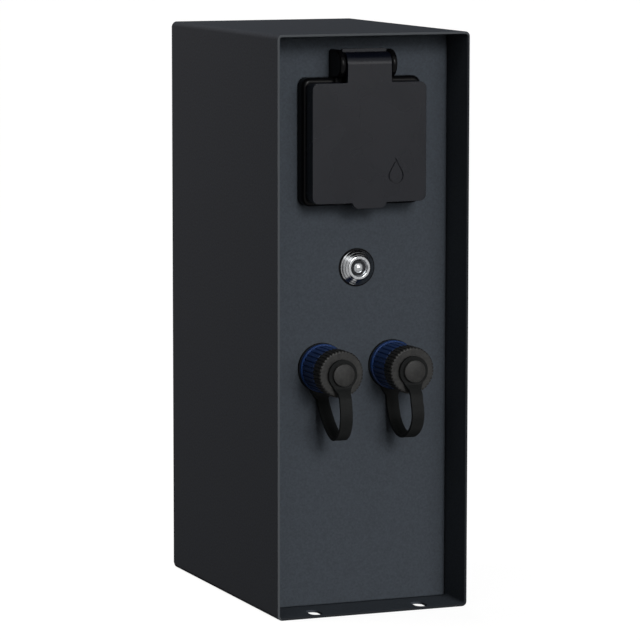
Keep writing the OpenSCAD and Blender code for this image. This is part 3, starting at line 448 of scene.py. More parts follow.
# %% [markdown]
# A finished piece gets smooth shading with sharp creases kept, a small Bevel modifier so that its
# edges catch the light as real edges do, a finish, and the body that it rides on. Weighted normals
# follow the bevel, because large flat faces would otherwise be shaded as if they were bent.

# %% Turning a shape into a piece
CREASE = math.radians(35)


def soften(obj, edge, steps=2):
    """Rounds the sharp edges of an object with a Bevel modifier."""
    bevel = obj.modifiers.new("soft_edges", "BEVEL")
    bevel.width = edge * MM
    bevel.segments = steps
    bevel.limit_method = "ANGLE"
    bevel.angle_limit = CREASE
    shade = obj.modifiers.new("flat_faces", "WEIGHTED_NORMAL")
    shade.keep_sharp = True


def piece(bm, name, slot, body, nodes, edge=0.0, steps=2):
    """A finished piece on one body that stands for CAD nodes; edge is the rounding of its edges."""
    bmesh.ops.scale(bm, vec=(MM, MM, MM), verts=bm.verts)
    mesh = to_mesh(bm, name)
    mesh.shade_smooth()
    mesh.set_sharp_from_angle(angle=CREASE)
    mesh.materials.append(finishes[slot])
    obj = bpy.data.objects.new(name, mesh)
    scene.collection.objects.link(obj)
    if edge:
        soften(obj, edge, steps)
    if body:
        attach(obj, body)
    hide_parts(*nodes)
    print(name, "faces", len(mesh.polygons))
    return obj


print("creases kept above", round(math.degrees(CREASE)), "degrees")

# %% [markdown]
# ## The housing jacket
# The jacket is one steel sheet folded into a sleeve, with slots for floor screws and a round cable
# opening in its base. It could be made by extruding a thin outline, but a solid block with rounded
# edges, hollowed by a smaller one, gives both the outer and the inner fold radius at once.

# %% Jacket
WIDTH, HEIGHT = 106.0, 300.0
FRONT_Y, BACK_Y = -79.0, 76.8
SHEET = 1.2
FOLD_R = 2.5
RETURN_W, RETURN_END = 13.0, 1.0
SLOT_X, SLOT_W, SLOT_L = 29.5, 6.5, 12.0
SLOT_YS = (-70.5, 65.8)
CABLE_Y, CABLE_R = 42.0, 22.0
BEYOND, HAIR = 5.0, 0.01
half_w = WIDTH / 2

jacket = block((-half_w, FRONT_Y, 0), (half_w, BACK_Y, HEIGHT))
round_edges(jacket, edges_along(jacket, 1), FOLD_R, 8)
hollow = block((SHEET - half_w, FRONT_Y - BEYOND, SHEET),
               (half_w - SHEET, BACK_Y + BEYOND, HEIGHT - SHEET))
round_edges(hollow, edges_along(hollow, 1), FOLD_R - SHEET, 5)
jacket = carve(jacket, hollow)
for side in (-1, 1):
    low_x, high_x = sorted((side * (half_w - SHEET / 2), side * (half_w - SHEET - RETURN_W)))
    jacket = join(jacket, block((low_x, BACK_Y - SHEET, SHEET + RETURN_END),
                                (high_x, BACK_Y, HEIGHT - SHEET - RETURN_END)))
    for slot_y in SLOT_YS:
        slot_x = side * SLOT_X
        slot = block((slot_x - SLOT_W / 2, slot_y - SLOT_L / 2, -BEYOND),
                     (slot_x + SLOT_W / 2, slot_y + SLOT_L / 2, BEYOND))
        round_edges(slot, edges_along(slot, 2), SLOT_W / 2 - HAIR, 8)
        jacket = carve(jacket, slot)
jacket = carve(jacket, bar(2, -BEYOND, BEYOND, (0, CABLE_Y), CABLE_R))
piece(jacket, "jacket_sheet", "powder_coat", "housing", ["housing_jacket"], edge=0.22)

# %% [markdown]
# The sheet's cut edge is a band of its own round the opening, and light and shade are painted on it: a
# painted highlight along the top and the left, where light from above and the left catches the edge, and
# painted shade along the foot and the right, which stand in less light. The jacket and the panel share
# one coat, and only the jacket reaches so far forward, so the band is mixed in by the Object coordinate
# Y, and its painted highlight by X and Z.

# %% The cut edge's painted highlight and shade
# Painted shade tone for the foot and the right of the cut edge, painted highlight tone for its top and
# left.
EDGE_SHADE_TONE, EDGE_HIGHLIGHT_TONE = (40, 42, 45), (70, 73, 76)
EDGE_FADE, HIGHLIGHT_FADE = 0.35, 1.0


def paint_edge_light(material, y):
    """Mixes a painted highlight and painted shade for the cut edge into a finish in front of a plane at
    y.
    """
    nodes, links = material.node_tree.nodes, material.node_tree.links
    parts = nodes.new("ShaderNodeSeparateXYZ")
    links.new(nodes["place"].outputs["Object"], parts.inputs["Vector"])

    def beyond(axis, start, end):
        reach = nodes.new("ShaderNodeMapRange")
        reach.inputs["From Min"].default_value = start * MM
        reach.inputs["From Max"].default_value = end * MM
        links.new(parts.outputs[axis], reach.inputs["Value"])
        return reach.outputs["Result"]

    def blend(share, first, second):
        mixed = nodes.new("ShaderNodeMix")
        mixed.data_type = "RGBA"
        links.new(share, mixed.inputs[0])
        for socket, tone in ((mixed.inputs[6], first), (mixed.inputs[7], second)):
            if isinstance(tone, tuple):
                socket.default_value = srgb(*tone)
            else:
                links.new(tone, socket)
        return mixed.outputs[2]

    # The painted highlight covers the left side and the top of the opening; the rest of the band gets
    # painted shade.
    highlight_sides = nodes.new("ShaderNodeMath")
    highlight_sides.operation = "MAXIMUM"
    links.new(beyond("X", SHEET + HIGHLIGHT_FADE - half_w, SHEET - half_w), highlight_sides.inputs[0])
    links.new(beyond("Z", HEIGHT - SHEET - HIGHLIGHT_FADE, HEIGHT - SHEET), highlight_sides.inputs[1])
    band = blend(highlight_sides.outputs[0], EDGE_SHADE_TONE, EDGE_HIGHLIGHT_TONE)
    coat = blend(beyond("Y", y + EDGE_FADE, y), nodes["tint"].outputs[2], band)
    links.new(coat, nodes["Principled BSDF"].inputs["Base Color"])


paint_edge_light(finishes["powder_coat"], FRONT_Y)
print("cut edge in front of y", FRONT_Y + EDGE_FADE)

# %% [markdown]
# ## The front panel
# The panel is a tray whose four edges are folded back, so a dark seam runs all round it inside the
# jacket. Its upright folds are softer than those at the top and bottom. One bevel can't give edges
# that meet different radii, so three blocks are bevelled, one for each radius, and what they share
# is kept. A smaller tray of the same kind is cut out from behind, which leaves the bent sheet.

# %% Panel
PANEL_Y = -55.5
PANEL_DEPTH = 16.0
PANEL_GAP = 0.2
UPRIGHT_FOLD, LEVEL_FOLD, PAN_CORNER = 3.0, 1.5, 2.5
SOCKET_Z, SWITCH_Z, CONNECTOR_Z = 244.0, 178.0, 126.5
CONNECTOR_X = 19.7
SOCKET_HOLE_R, SWITCH_HOLE_R, CONNECTOR_HOLE_R = 24.1, 8.0, 8.1
SIDES = (("left", -CONNECTOR_X), ("right", CONNECTOR_X))
pan_x = half_w - SHEET - PANEL_GAP
pan_low, pan_high = SHEET + PANEL_GAP, HEIGHT - SHEET - PANEL_GAP


def tray(inset, rear):
    """The tray's outline, drawn in by inset at its front and sides."""
    front_y = PANEL_Y + inset
    low, high = (inset - pan_x, front_y, pan_low + inset), (pan_x - inset, rear, pan_high - inset)
    shapes = [block(low, high) for _ in range(3)]
    upright, level, deep = shapes
    folds = set(edges_at(upright, 1, front_y)) & set(edges_along(upright, 2))
    round_edges(upright, list(folds), UPRIGHT_FOLD - inset, 6)
    folds = set(edges_at(level, 1, front_y)) & set(edges_along(level, 0))
    round_edges(level, list(folds), LEVEL_FOLD - inset, 5)
    round_edges(deep, edges_along(deep, 1), PAN_CORNER - inset, 6)
    return carve(carve(upright, level, "INTERSECT"), deep, "INTERSECT")


panel = carve(tray(0, PANEL_Y + PANEL_DEPTH), tray(SHEET, PANEL_Y + PANEL_DEPTH + BEYOND))
holes = [((0, SOCKET_Z), SOCKET_HOLE_R), ((0, SWITCH_Z), SWITCH_HOLE_R)]
holes += [((x, CONNECTOR_Z), CONNECTOR_HOLE_R) for _, x in SIDES]
for centre, radius in holes:
    panel = carve(panel, bar(1, PANEL_Y - BEYOND, PANEL_Y + BEYOND, centre, radius))
piece(panel, "panel_tray", "powder_coat", "housing", ["front_panel"], edge=0.12)

# %% [markdown]
# ## The outlet's frame
# A square plastic flange carries a round collar for the plug and two ears that hold the hinge pin.
# Each is a plain solid, and they are joined before the bores are cut, as one moulding would be.

# %% Frame with hinge ears


def front(distance):
    """The Y of a point at a distance in front of the panel."""
    return PANEL_Y - distance


FLANGE, FLANGE_R, FLANGE_EDGE = 66.0, 4.5, 2.2
FLANGE_BACK, FLANGE_FRONT = 1.0, 7.5
COLLAR_R, COLLAR_FRONT, SLEEVE_BACK = 23.5, 11.0, -7.2
BORE_R = 21.6
HINGE_F, HINGE_Z = 9.8, 283.8
EAR_IN, EAR_OUT, EAR_R, EAR_ROUND, EAR_SINK = 12.5, 15.8, 7.4, 1.4, 3.0
PIN_R, PIN_END = 1.53, 14.8
SCREW_AT, SCREW_R, SCREW_HEAD_R, SCREW_SINK = 23.0, 1.6, 3.1, 2.1
CUT_PAST = 1.0
half_f = FLANGE / 2
flange_top = SOCKET_Z + half_f

outlet = block((-half_f, front(FLANGE_FRONT), SOCKET_Z - half_f),
               (half_f, front(FLANGE_BACK), flange_top))
round_edges(outlet, edges_along(outlet, 1), FLANGE_R, 10)
round_edges(outlet, edges_at(outlet, 1, front(FLANGE_FRONT)), FLANGE_EDGE, 6)
outlet = join(outlet, bar(1, front(COLLAR_FRONT), front(SLEEVE_BACK), (0, SOCKET_Z), COLLAR_R, 96))
for side in (-1, 1):
    near, far = sorted((side * EAR_IN, side * EAR_OUT))
    ear = bar(0, near, far, (front(HINGE_F), HINGE_Z), EAR_R, 48)
    round_edges(ear, edges_at(ear, 0, near) + edges_at(ear, 0, far), EAR_ROUND, 5)
    foot = block((near, front(HINGE_F), flange_top - EAR_SINK),
                 (far, front(FLANGE_BACK), HINGE_Z + EAR_R))
    upper = set(edges_along(foot, 1)) & set(edges_at(foot, 2, HINGE_Z + EAR_R))
    ear = join(ear, round_edges(foot, list(upper), EAR_ROUND, 5))
    outlet = join(outlet, ear)
plug_bore = bar(1, front(COLLAR_FRONT + CUT_PAST), front(SLEEVE_BACK - CUT_PAST),
                (0, SOCKET_Z), BORE_R, 96)
outlet = carve(outlet, plug_bore)
outlet = carve(outlet, bar(0, -PIN_END, PIN_END, (front(HINGE_F), HINGE_Z), PIN_R, 24))
drill_start, drill_end = front(FLANGE_FRONT + CUT_PAST), front(FLANGE_BACK - CUT_PAST)
for x in (-SCREW_AT, SCREW_AT):
    for z in (SOCKET_Z - SCREW_AT, SOCKET_Z + SCREW_AT):
        outlet = carve(outlet, bar(1, drill_start, drill_end, (x, z), SCREW_R, 24))
        sunk = bar(1, drill_start, front(FLANGE_FRONT - SCREW_SINK), (x, z), SCREW_HEAD_R, 32)
        outlet = carve(outlet, sunk)
piece(outlet, "outlet_frame", "black_plastic", "housing", ["socket_frame"], edge=0.45, steps=3)

# %% [markdown]
# ## The lid
# The lid's face, the neck that reaches up between the ears and the finger tab below are flush, so
# they are drawn as one outline whose corners are bevelled as vertices. It is pushed back to its
# thickness, its front edge is rounded, and the neck's end face is spun over the hinge as a hood. A
# low lip across the hood's end stiffens it, and shows as a thin light line above the curve.

# %% Lid face, neck and hood
LID_X, LID_LOW, LID_TOP = 31.5, 213.0, 274.5
LID_FRONT, LID_BACK = 17.5, 7.8
LID_R, LID_EDGE, LID_INNER_R = 3.5, 1.5, 0.6
NECK_X, NECK_T = 12.2, 2.6
HOOD_F, HOOD_TURN, HOOD_STEPS = 11.3, math.radians(110), 18
TAB_X, TAB_FOOT_X, TAB_LOW, TAB_R = 9.4, 8.5, 210.0, 2.5

outline = [(-LID_X, LID_LOW), (-TAB_X, LID_LOW), (-TAB_FOOT_X, TAB_LOW), (TAB_FOOT_X, TAB_LOW),
           (TAB_X, LID_LOW), (LID_X, LID_LOW), (LID_X, LID_TOP), (NECK_X, LID_TOP),
           (NECK_X, HINGE_Z), (-NECK_X, HINGE_Z), (-NECK_X, LID_TOP), (-LID_X, LID_TOP)]
lid = bmesh.new()
corners = [lid.verts.new((x, front(LID_FRONT), z)) for x, z in outline]
lid.faces.new(corners)


def round_corners(bm, verts, radius, segments):
    """Rounds corners of a flat outline."""
    bmesh.ops.bevel(bm, geom=verts, offset=radius, offset_type="OFFSET", affect="VERTICES",
                    segments=segments, profile=0.5, material=-1)


lid_corners = [corners[i] for i in (0, 5, 6, 11)]
tab_corners = [corners[i] for i in (2, 3)]
inner_corners = [corners[i] for i in (1, 4, 7, 10)]
round_corners(lid, lid_corners, LID_R, 10)
round_corners(lid, tab_corners, TAB_R, 7)
round_corners(lid, inner_corners, LID_INNER_R, 3)
pushed = bmesh.ops.extrude_face_region(lid, geom=lid.faces[:])
pushed_verts = [g for g in pushed["geom"] if isinstance(g, bmesh.types.BMVert)]
bmesh.ops.translate(lid, vec=(0, NECK_T, 0), verts=pushed_verts)
bmesh.ops.recalc_face_normals(lid, faces=lid.faces)
rim = [e for e in edges_at(lid, 1, front(LID_FRONT))
       if not all(v.co.z > HINGE_Z - HAIR for v in e.verts)]
round_edges(lid, rim, LID_EDGE, 4)
neck_end = [f for f in lid.faces if all(abs(v.co.z - HINGE_Z) < SAME_PLACE for v in f.verts)]
bmesh.ops.spin(lid, geom=neck_end, cent=(0, front(HOOD_F), HINGE_Z), axis=(-1, 0, 0),
               angle=HOOD_TURN, steps=HOOD_STEPS, use_merge=False)
bmesh.ops.recalc_face_normals(lid, faces=lid.faces)
print("lid face and hood:", len(lid.faces), "faces")

# %% [markdown]
# Behind the face the lid is a shallow box with walls, and two lugs under the hood run on the hinge
# pin. A plain drop is sunk into the lower right of the face as a sign for splash water.

# %% Lid walls, lugs and drop mark
LID_WALL, FACE_LAP, POCKET_R = 2.2, 1.4, 1.9
LIP_FRONT, LIP_BACK, LIP_LOW, LIP_TOP = 9.9, 7.6, 288.0, 291.5
LUG_R, LUG_W, LUG_LAP, LUG_BORE_R = 4.0, 5.0, 0.6, 1.56
DROP_X, DROP_Z, DROP_R, DROP_TALL = 14.4, 226.5, 4.4, 2.1
DROP_LINE, DROP_DEEP = 0.95, 0.7
FLUSH = 0.04
lug_half = 0.7 * LUG_R
lug_front = front(LID_FRONT - NECK_T + LUG_LAP)

walls = block((FLUSH - LID_X, front(LID_FRONT - FACE_LAP), LID_LOW + FLUSH),
              (LID_X - FLUSH, front(LID_BACK), LID_TOP - FLUSH))
round_edges(walls, edges_along(walls, 1), LID_R - FLUSH, 10)
lid = join(lid, walls)
pocket = block((LID_WALL - LID_X, front(LID_FRONT - LID_WALL), LID_LOW + LID_WALL),
               (LID_X - LID_WALL, front(LID_BACK - BEYOND), LID_TOP - LID_WALL))
round_edges(pocket, edges_along(pocket, 1), POCKET_R, 8)
lid = carve(lid, pocket)
lid = join(lid, block((FLUSH - NECK_X, front(LIP_FRONT), LIP_LOW),
                      (NECK_X - FLUSH, front(LIP_BACK), LIP_TOP)))
for side in (-1, 1):
    near, far = sorted((side * (NECK_X - LUG_W), side * (NECK_X - FLUSH)))
    lug = bar(0, near, far, (front(HINGE_F), HINGE_Z), LUG_R, 40)
    lug = join(lug, block((near, lug_front, HINGE_Z - lug_half),
                          (far, front(HINGE_F), HINGE_Z + lug_half)))
    lid = join(lid, lug)
pin_reach = NECK_X + CUT_PAST
lid = carve(lid, bar(0, -pin_reach, pin_reach, (front(HINGE_F), HINGE_Z), LUG_BORE_R, 32))


def drop_prism(radius, near, far):
    """A drop between two distances in front of the panel: the hull of two circles and two tips."""
    bm = bmesh.new()
    for distance in (near, far):
        round_end = bmesh.ops.create_circle(bm, cap_ends=False, segments=48, radius=radius)["verts"]
        bmesh.ops.rotate(bm, matrix=Matrix.Rotation(math.pi / 2, 3, "X"), verts=round_end)
        tip = bm.verts.new((0, 0, DROP_TALL * radius))
        bmesh.ops.translate(bm, vec=(DROP_X, front(distance), DROP_Z), verts=round_end + [tip])
    wrapped = bmesh.ops.convex_hull(bm, input=bm.verts[:])
    inside = [g for g in wrapped["geom_interior"] if isinstance(g, bmesh.types.BMVert)]
    bmesh.ops.delete(bm, geom=inside, context="VERTS")
    bmesh.ops.recalc_face_normals(bm, faces=bm.faces)
    return bm


groove = carve(drop_prism(DROP_R, LID_FRONT - DROP_DEEP, LID_FRONT + CUT_PAST),
               drop_prism(DROP_R - DROP_LINE, LID_FRONT - 2 * CUT_PAST, LID_FRONT + 2 * CUT_PAST))
lid = carve(lid, groove)
piece(lid, "lid_cover", "lid_plastic", "lid", ["socket_lid"], edge=0.3)

# %% [markdown]
# ## The push button
# The button's head is turned steel: a nearly straight cone with three fine grooves, a narrow rim and
# a chamfer inside. A turned piece is made as on a lathe: its half section is drawn as a line of points
# and spun right round the axis. The plunger in the middle is domed, with a dark ring round it.

# %% Turned pieces


def turned(profile, x, z, steps=96):
    """Spins a half section of (radius, distance in front of the panel) points round an axis along Y."""
    bm = bmesh.new()
    points = [bm.verts.new((x + radius, front(distance), z)) for radius, distance in profile]
    chain = [bm.edges.new(pair) for pair in zip(points, points[1:])]
    bmesh.ops.spin(bm, geom=points + chain, cent=(x, 0, z), axis=(0, 1, 0), angle=2 * math.pi,
                   steps=steps, use_merge=True)
    bmesh.ops.remove_doubles(bm, verts=bm.verts, dist=WELD_GAP)
    bmesh.ops.recalc_face_normals(bm, faces=bm.faces)
    return bm


def quarter(centre, size, start, end, count):
    """Points on part of an ellipse; angles in degrees, 0 outwards and 90 to the front."""
    angles = [math.radians(start + (end - start) * i / count) for i in range(count + 1)]
    return [(centre[0] + size[0] * math.cos(a), centre[1] + size[1] * math.sin(a)) for a in angles]


GROOVES, GROOVE_DEEP, GROOVE_SHARE = 3, 0.03, 0.4


def grooved_flank(start, end, bulge, count=48):
    """Points on a bulged line between two points, with fine grooves across it."""
    start, end = Vector(start), Vector(end)
    out = Vector((start.y - end.y, end.x - start.x)).normalized() * -1
    points = []
    for i in range(count + 1):
        share = i / count
        lift = bulge * 4 * share * (1 - share)
        if 0.5 - GROOVE_SHARE / 2 < (share * GROOVES) % 1 < 0.5 + GROOVE_SHARE / 2:
            lift -= GROOVE_DEEP
        points.append(tuple(start.lerp(end, share) + out * lift))
    return points


HEAD_R, HEAD_BASE, HEAD_STEP, HEAD_FRONT = 9.3, 0.6, 1.05, 4.2
RIM_R, RIM_IN_R, BUTTON_BORE, BORE_CHAMFER = 5.85, 4.75, 3.81, 1.3
FLANK_BULGE = 0.05
THREAD_R, THREAD_BACK, CAVITY_R, SHOULDER = 7.9, -14.0, 6.5, -2.6
flank = grooved_flank((HEAD_R, HEAD_STEP), (RIM_R, HEAD_FRONT), FLANK_BULGE)
bezel_line = [(THREAD_R, THREAD_BACK), (THREAD_R, HEAD_BASE), (HEAD_R, HEAD_BASE)] + flank + [
    (RIM_IN_R, HEAD_FRONT), (BUTTON_BORE, HEAD_FRONT - BORE_CHAMFER), (BUTTON_BORE, SHOULDER),
    (CAVITY_R, SHOULDER), (CAVITY_R, THREAD_BACK), (THREAD_R, THREAD_BACK)]
piece(turned(bezel_line, 0, SWITCH_Z, 128), "button_bezel", "polished_steel", "housing",
      ["switch_bezel"], edge=0.1)

# %% Plunger and its ring
BUTTON_R, FACE_R, BUTTON_TOP, DOME_TALL = 3.75, 2.85, 4.2, 1.7
PLUNGER_R, PLUNGER_TOP, PLUNGER_LOW = 6.1, -2.9, -4.4
RING_TOP, RING_FLOOR, RING_IN_R = 2.9, 1.8, 2.88
RING_EDGE, RING_IN_EDGE = 0.15, 0.17
plunger_line = [(0, PLUNGER_LOW), (PLUNGER_R, PLUNGER_LOW), (PLUNGER_R, PLUNGER_TOP),
                (BUTTON_R, PLUNGER_TOP), (BUTTON_R, RING_FLOOR), (FACE_R, RING_FLOOR)]
plunger_line += quarter((0, BUTTON_TOP - DOME_TALL), (FACE_R, DOME_TALL), 0, 90, 14)
piece(turned(plunger_line, 0, SWITCH_Z), "button_plunger", "polished_steel", "button", ["switch_button"],
      edge=0.08)
ring_line = [(BUTTON_R, RING_FLOOR), (BUTTON_R, RING_TOP - RING_EDGE), (BUTTON_R - RING_EDGE, RING_TOP),
             (RING_IN_R + RING_IN_EDGE, RING_TOP), (RING_IN_R, RING_TOP - RING_EDGE),
             (RING_IN_R, RING_FLOOR), (BUTTON_R, RING_FLOOR)]
piece(turned(ring_line, 0, SWITCH_Z), "button_ring", "ring_plastic", "button", ["switch_light_ring"])

# %% [markdown]
# The return spring behind the plunger gets shorter when the button is pressed, which a stiff piece can't
# do. Its wire's round section is spun four times round the axis and moved along it at every step.

# %% Return spring
COIL_R, WIRE_R, COIL_TURNS, TURN_STEPS = 4.0, 0.35, 4, 24
COIL_BACK, COIL_FRONT = -11.4, -4.5
coil_steps = COIL_TURNS * TURN_STEPS
coil_rise = (COIL_FRONT - COIL_BACK - 2 * WIRE_R) / coil_steps
coil = bmesh.new()
bmesh.ops.create_circle(coil, cap_ends=True, segments=10, radius=WIRE_R)
bmesh.ops.translate(coil, vec=(COIL_R, front(COIL_BACK + WIRE_R), SWITCH_Z), verts=coil.verts)
bmesh.ops.spin(coil, geom=coil.verts[:] + coil.edges[:] + coil.faces[:], cent=(0, 0, SWITCH_Z),
               axis=(0, 1, 0), dvec=(0, -coil_rise, 0), angle=COIL_TURNS * 2 * math.pi,
               steps=coil_steps, use_merge=False)
bmesh.ops.recalc_face_normals(coil, faces=coil.faces)
spring = piece(coil, "return_spring", "zinc_steel", None, ["switch_spring"])
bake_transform(spring)

# %% [markdown]
# The lathe leaves fine rings on the steel. A Wave texture makes them round the button's own axis: a
# Mapping node moves the axis into the texture's middle, and a second Bump lies over the first.

# %% Lathe lines on the steel
LATHE_PITCH, LATHE_DEEP = 0.45, 0.004
WAVE_PERIOD = math.pi / 10


def lathe_lines(material, height):
    """Adds rings round an axis along Y at a height."""
    nodes, links = material.node_tree.nodes, material.node_tree.links
    centre = nodes.new("ShaderNodeMapping")
    centre.inputs["Location"].default_value = (0, 0, -height * MM)
    links.new(nodes["place"].outputs["Object"], centre.inputs["Vector"])
    rings = nodes.new("ShaderNodeTexWave")
    rings.wave_type = "RINGS"
    rings.rings_direction = "Y"
    rings.inputs["Scale"].default_value = WAVE_PERIOD / (LATHE_PITCH * MM)
    links.new(centre.outputs["Vector"], rings.inputs["Vector"])
    cut = nodes.new("ShaderNodeBump")
    cut.inputs["Distance"].default_value = LATHE_DEEP * MM
    links.new(rings.outputs["Fac"], cut.inputs["Height"])
    links.new(nodes["relief"].outputs["Normal"], cut.inputs["Normal"])
    links.new(cut.outputs["Normal"], nodes["Principled BSDF"].inputs["Normal"])


lathe_lines(finishes["polished_steel"], SWITCH_Z)
print("lathe lines every", LATHE_PITCH, "mm")

# %% [markdown]
# ## Connectors and screw caps
# The blue bodies are ribbed lengthways and the caps are knurled for the fingers. A spin can't make
# ribs, so a circle is extruded from ring to ring along the axis: each new ring is set to its radius,
# and every few points of it are drawn in as a groove.

# %% Ribbed and knurled shapes
GROOVE_POINTS = 2


def ribbed(rings, ribs, points, x, z):
    """Extrudes a circle through rings of (distance in front of the panel, radius, groove depth)."""
    bm = bmesh.new()
    count = ribs * points
    verts = bmesh.ops.create_circle(bm, cap_ends=True, segments=count, radius=1)["verts"]
    bmesh.ops.rotate(bm, matrix=Matrix.Rotation(math.pi / 2, 3, "X"), verts=verts)
    edges = bm.edges[:]
    for number, (distance, radius, depth) in enumerate(rings):
        if number:
            grown = bmesh.ops.extrude_edge_only(bm, edges=edges)["geom"]
            verts = [g for g in grown if isinstance(g, bmesh.types.BMVert)]
            edges = [g for g in grown if isinstance(g, bmesh.types.BMEdge)]
        for vert in verts:
            spoke = Vector((vert.co.x, 0, vert.co.z)).normalized()
            step = round(math.atan2(spoke.z, spoke.x) / (2 * math.pi) * count) % points
            vert.co = spoke * (radius - depth if step < GROOVE_POINTS else radius)
            vert.co.y = front(distance)
        ring = set(verts)
        edges = [e for e in edges if e.verts[0] in ring and e.verts[1] in ring]
    bmesh.ops.contextual_create(bm, geom=edges)
    bmesh.ops.translate(bm, vec=(x, 0, z), verts=bm.verts)
    bmesh.ops.recalc_face_normals(bm, faces=bm.faces)
    return bm


BODY_RIBS, RIB_POINTS = 28, 8
SHANK_R, SHANK_BACK, BODY_BASE = 8.0, -14.0, 1.5
BODY_FLANGE_R, BODY_FLANGE_FRONT = 12.6, 3.9
BODY_R, BODY_SHOULDER, RIB_DEEP = 12.0, 18.2, 0.6
BODY_EDGE, RIB_EDGE = 0.4, 0.3
SPIGOT_R, SPIGOT_FRONT, PORT_R, PORT_FLOOR, CARRIER_R = 10.2, 25.2, 8.2, 9.0, 6.4
body_rings = [(SHANK_BACK, SHANK_R, 0), (BODY_BASE, SHANK_R, 0), (BODY_BASE, BODY_FLANGE_R, 0),
              (BODY_FLANGE_FRONT - BODY_EDGE, BODY_FLANGE_R, 0),
              (BODY_FLANGE_FRONT, BODY_FLANGE_R - BODY_EDGE, 0),
              (BODY_FLANGE_FRONT, BODY_R, RIB_DEEP), (BODY_SHOULDER - RIB_EDGE, BODY_R, RIB_DEEP),
              (BODY_SHOULDER, BODY_R - RIB_EDGE, 0.2), (BODY_SHOULDER, SPIGOT_R, 0),
              (SPIGOT_FRONT - BODY_EDGE, SPIGOT_R, 0), (SPIGOT_FRONT, SPIGOT_R - BODY_EDGE, 0),
              (SPIGOT_FRONT, PORT_R, 0), (PORT_FLOOR, PORT_R, 0), (PORT_FLOOR, CARRIER_R, 0),
              (SHANK_BACK, CARRIER_R, 0)]
for name, x in SIDES:
    shell = ribbed(body_rings, BODY_RIBS, RIB_POINTS, x, CONNECTOR_Z)
    piece(shell, name + "_ribbed_body", "connector_blue", "housing", [name + "_connector_body"])

# %% Caps with their studs
CAP_BACK, CAP_FRONT, CAP_R = 18.5, 28.0, 12.2
CAP_RIDGES, RIDGE_POINTS, KNURL_DEEP = 40, 6, 0.45
CAP_BORE_R, CAP_FLOOR = 10.26, 26.5
STUD_NECK_R, STUD_R, STUD_BACK, STUD_FRONT = 3.8, 5.8, 30.3, 31.8
cap_rings = [(CAP_FLOOR, CAP_BORE_R, 0), (CAP_BACK, CAP_BORE_R, 0), (CAP_BACK, CAP_R - 0.6, 0),
             (CAP_BACK + 0.5, CAP_R, KNURL_DEEP), (CAP_FRONT - 0.9, CAP_R, KNURL_DEEP),
             (CAP_FRONT - 0.35, CAP_R - 0.2, KNURL_DEEP), (CAP_FRONT, CAP_R - 0.75, 0.1),
             (CAP_FRONT, CAP_R - 1.4, 0), (CAP_FRONT, STUD_NECK_R, 0), (STUD_BACK, STUD_NECK_R, 0),
             (STUD_BACK, STUD_R - 0.1, 0), (STUD_BACK + 0.1, STUD_R, 0), (STUD_FRONT - 0.5, STUD_R, 0),
             (STUD_FRONT - 0.15, STUD_R - 0.15, 0), (STUD_FRONT, STUD_R - 0.5, 0)]
for name, x in SIDES:
    shell = ribbed(cap_rings, CAP_RIDGES, RIDGE_POINTS, x, CONNECTOR_Z)
    piece(shell, name + "_knurled_cap", "cap_plastic", name + "_screw_cap", [name + "_cap"])

# %% [markdown]
# ## Cap straps
# Each strap is one rubber moulding: a ring under the connector, a flat band and an eyelet that snaps
# over the cap's stud. It is cut flat, as from a sheet, sliced across every millimetre or so, and then
# every point is carried to its place along the strap's hanging line. The strap is fixed at both ends.

# %% Flat strap blank
STRAP_T, STRAP_X, EYELET_T = 1.5, 3.3, 1.7
RING_R, RING_HOLE = 13.0, 8.2
EYELET_R, EYELET_HOLE = 7.8, 3.86
RING_DROP, EYELET_DROP = 12.3, 4.6
RING_WEB, RING_WEB_X = (-0.9, 4.0), 6.5
EYELET_WEB, EYELET_WEB_X = (-10.6, -5.4), 5.5
BAND_LAP, WEB_INSET = 2.0, 0.02
SLICE = 0.8


def web(start, end, start_x, end_x):
    """A flat wedge that widens the band towards a ring."""
    bm = block((-1, start, -STRAP_T / 2), (1, end, STRAP_T / 2))
    for vert in bm.verts:
        vert.co.x *= start_x if abs(vert.co.y - start) < SAME_PLACE else end_x
    return bm


def strap_blank(length):
    """The strap laid flat along Y: ring, band and eyelet."""
    half = STRAP_T / 2
    eye = length + EYELET_DROP
    flat = block((-STRAP_X, -BAND_LAP, -half), (STRAP_X, eye - EYELET_R + BAND_LAP, half))
    flat = join(flat, bar(2, -half, half, (0, -RING_DROP), RING_R, 96))
    flat = join(flat, bar(2, -EYELET_T / 2, EYELET_T / 2, (0, eye), EYELET_R, 72))
    web_x = STRAP_X - WEB_INSET
    flat = join(flat, web(eye + EYELET_WEB[0], eye + EYELET_WEB[1], web_x, EYELET_WEB_X))
    flat = join(flat, web(RING_WEB[0], RING_WEB[1], RING_WEB_X, web_x))
    flat = carve(flat, bar(2, -CUT_PAST, CUT_PAST, (0, -RING_DROP), RING_HOLE, 64))
    flat = carve(flat, bar(2, -CUT_PAST, CUT_PAST, (0, eye), EYELET_HOLE, 48))
    cuts = int(length / SLICE)
    for i in range(1, cuts):
        bmesh.ops.bisect_plane(flat, geom=flat.verts[:] + flat.edges[:] + flat.faces[:],
                               plane_co=(0, length * i / cuts, 0), plane_no=(0, 1, 0))
    return flat


print("strap sliced every", SLICE, "mm")

# %% [markdown]
# The band leaves the ring downwards, swings forward in a loose loop and rises in front of the cap,
# where it bows out before it turns in to the eyelet. The two loops hang a little differently. Bezier
# spans make a smooth line of a few knots, each a distance in front of the panel and a height.

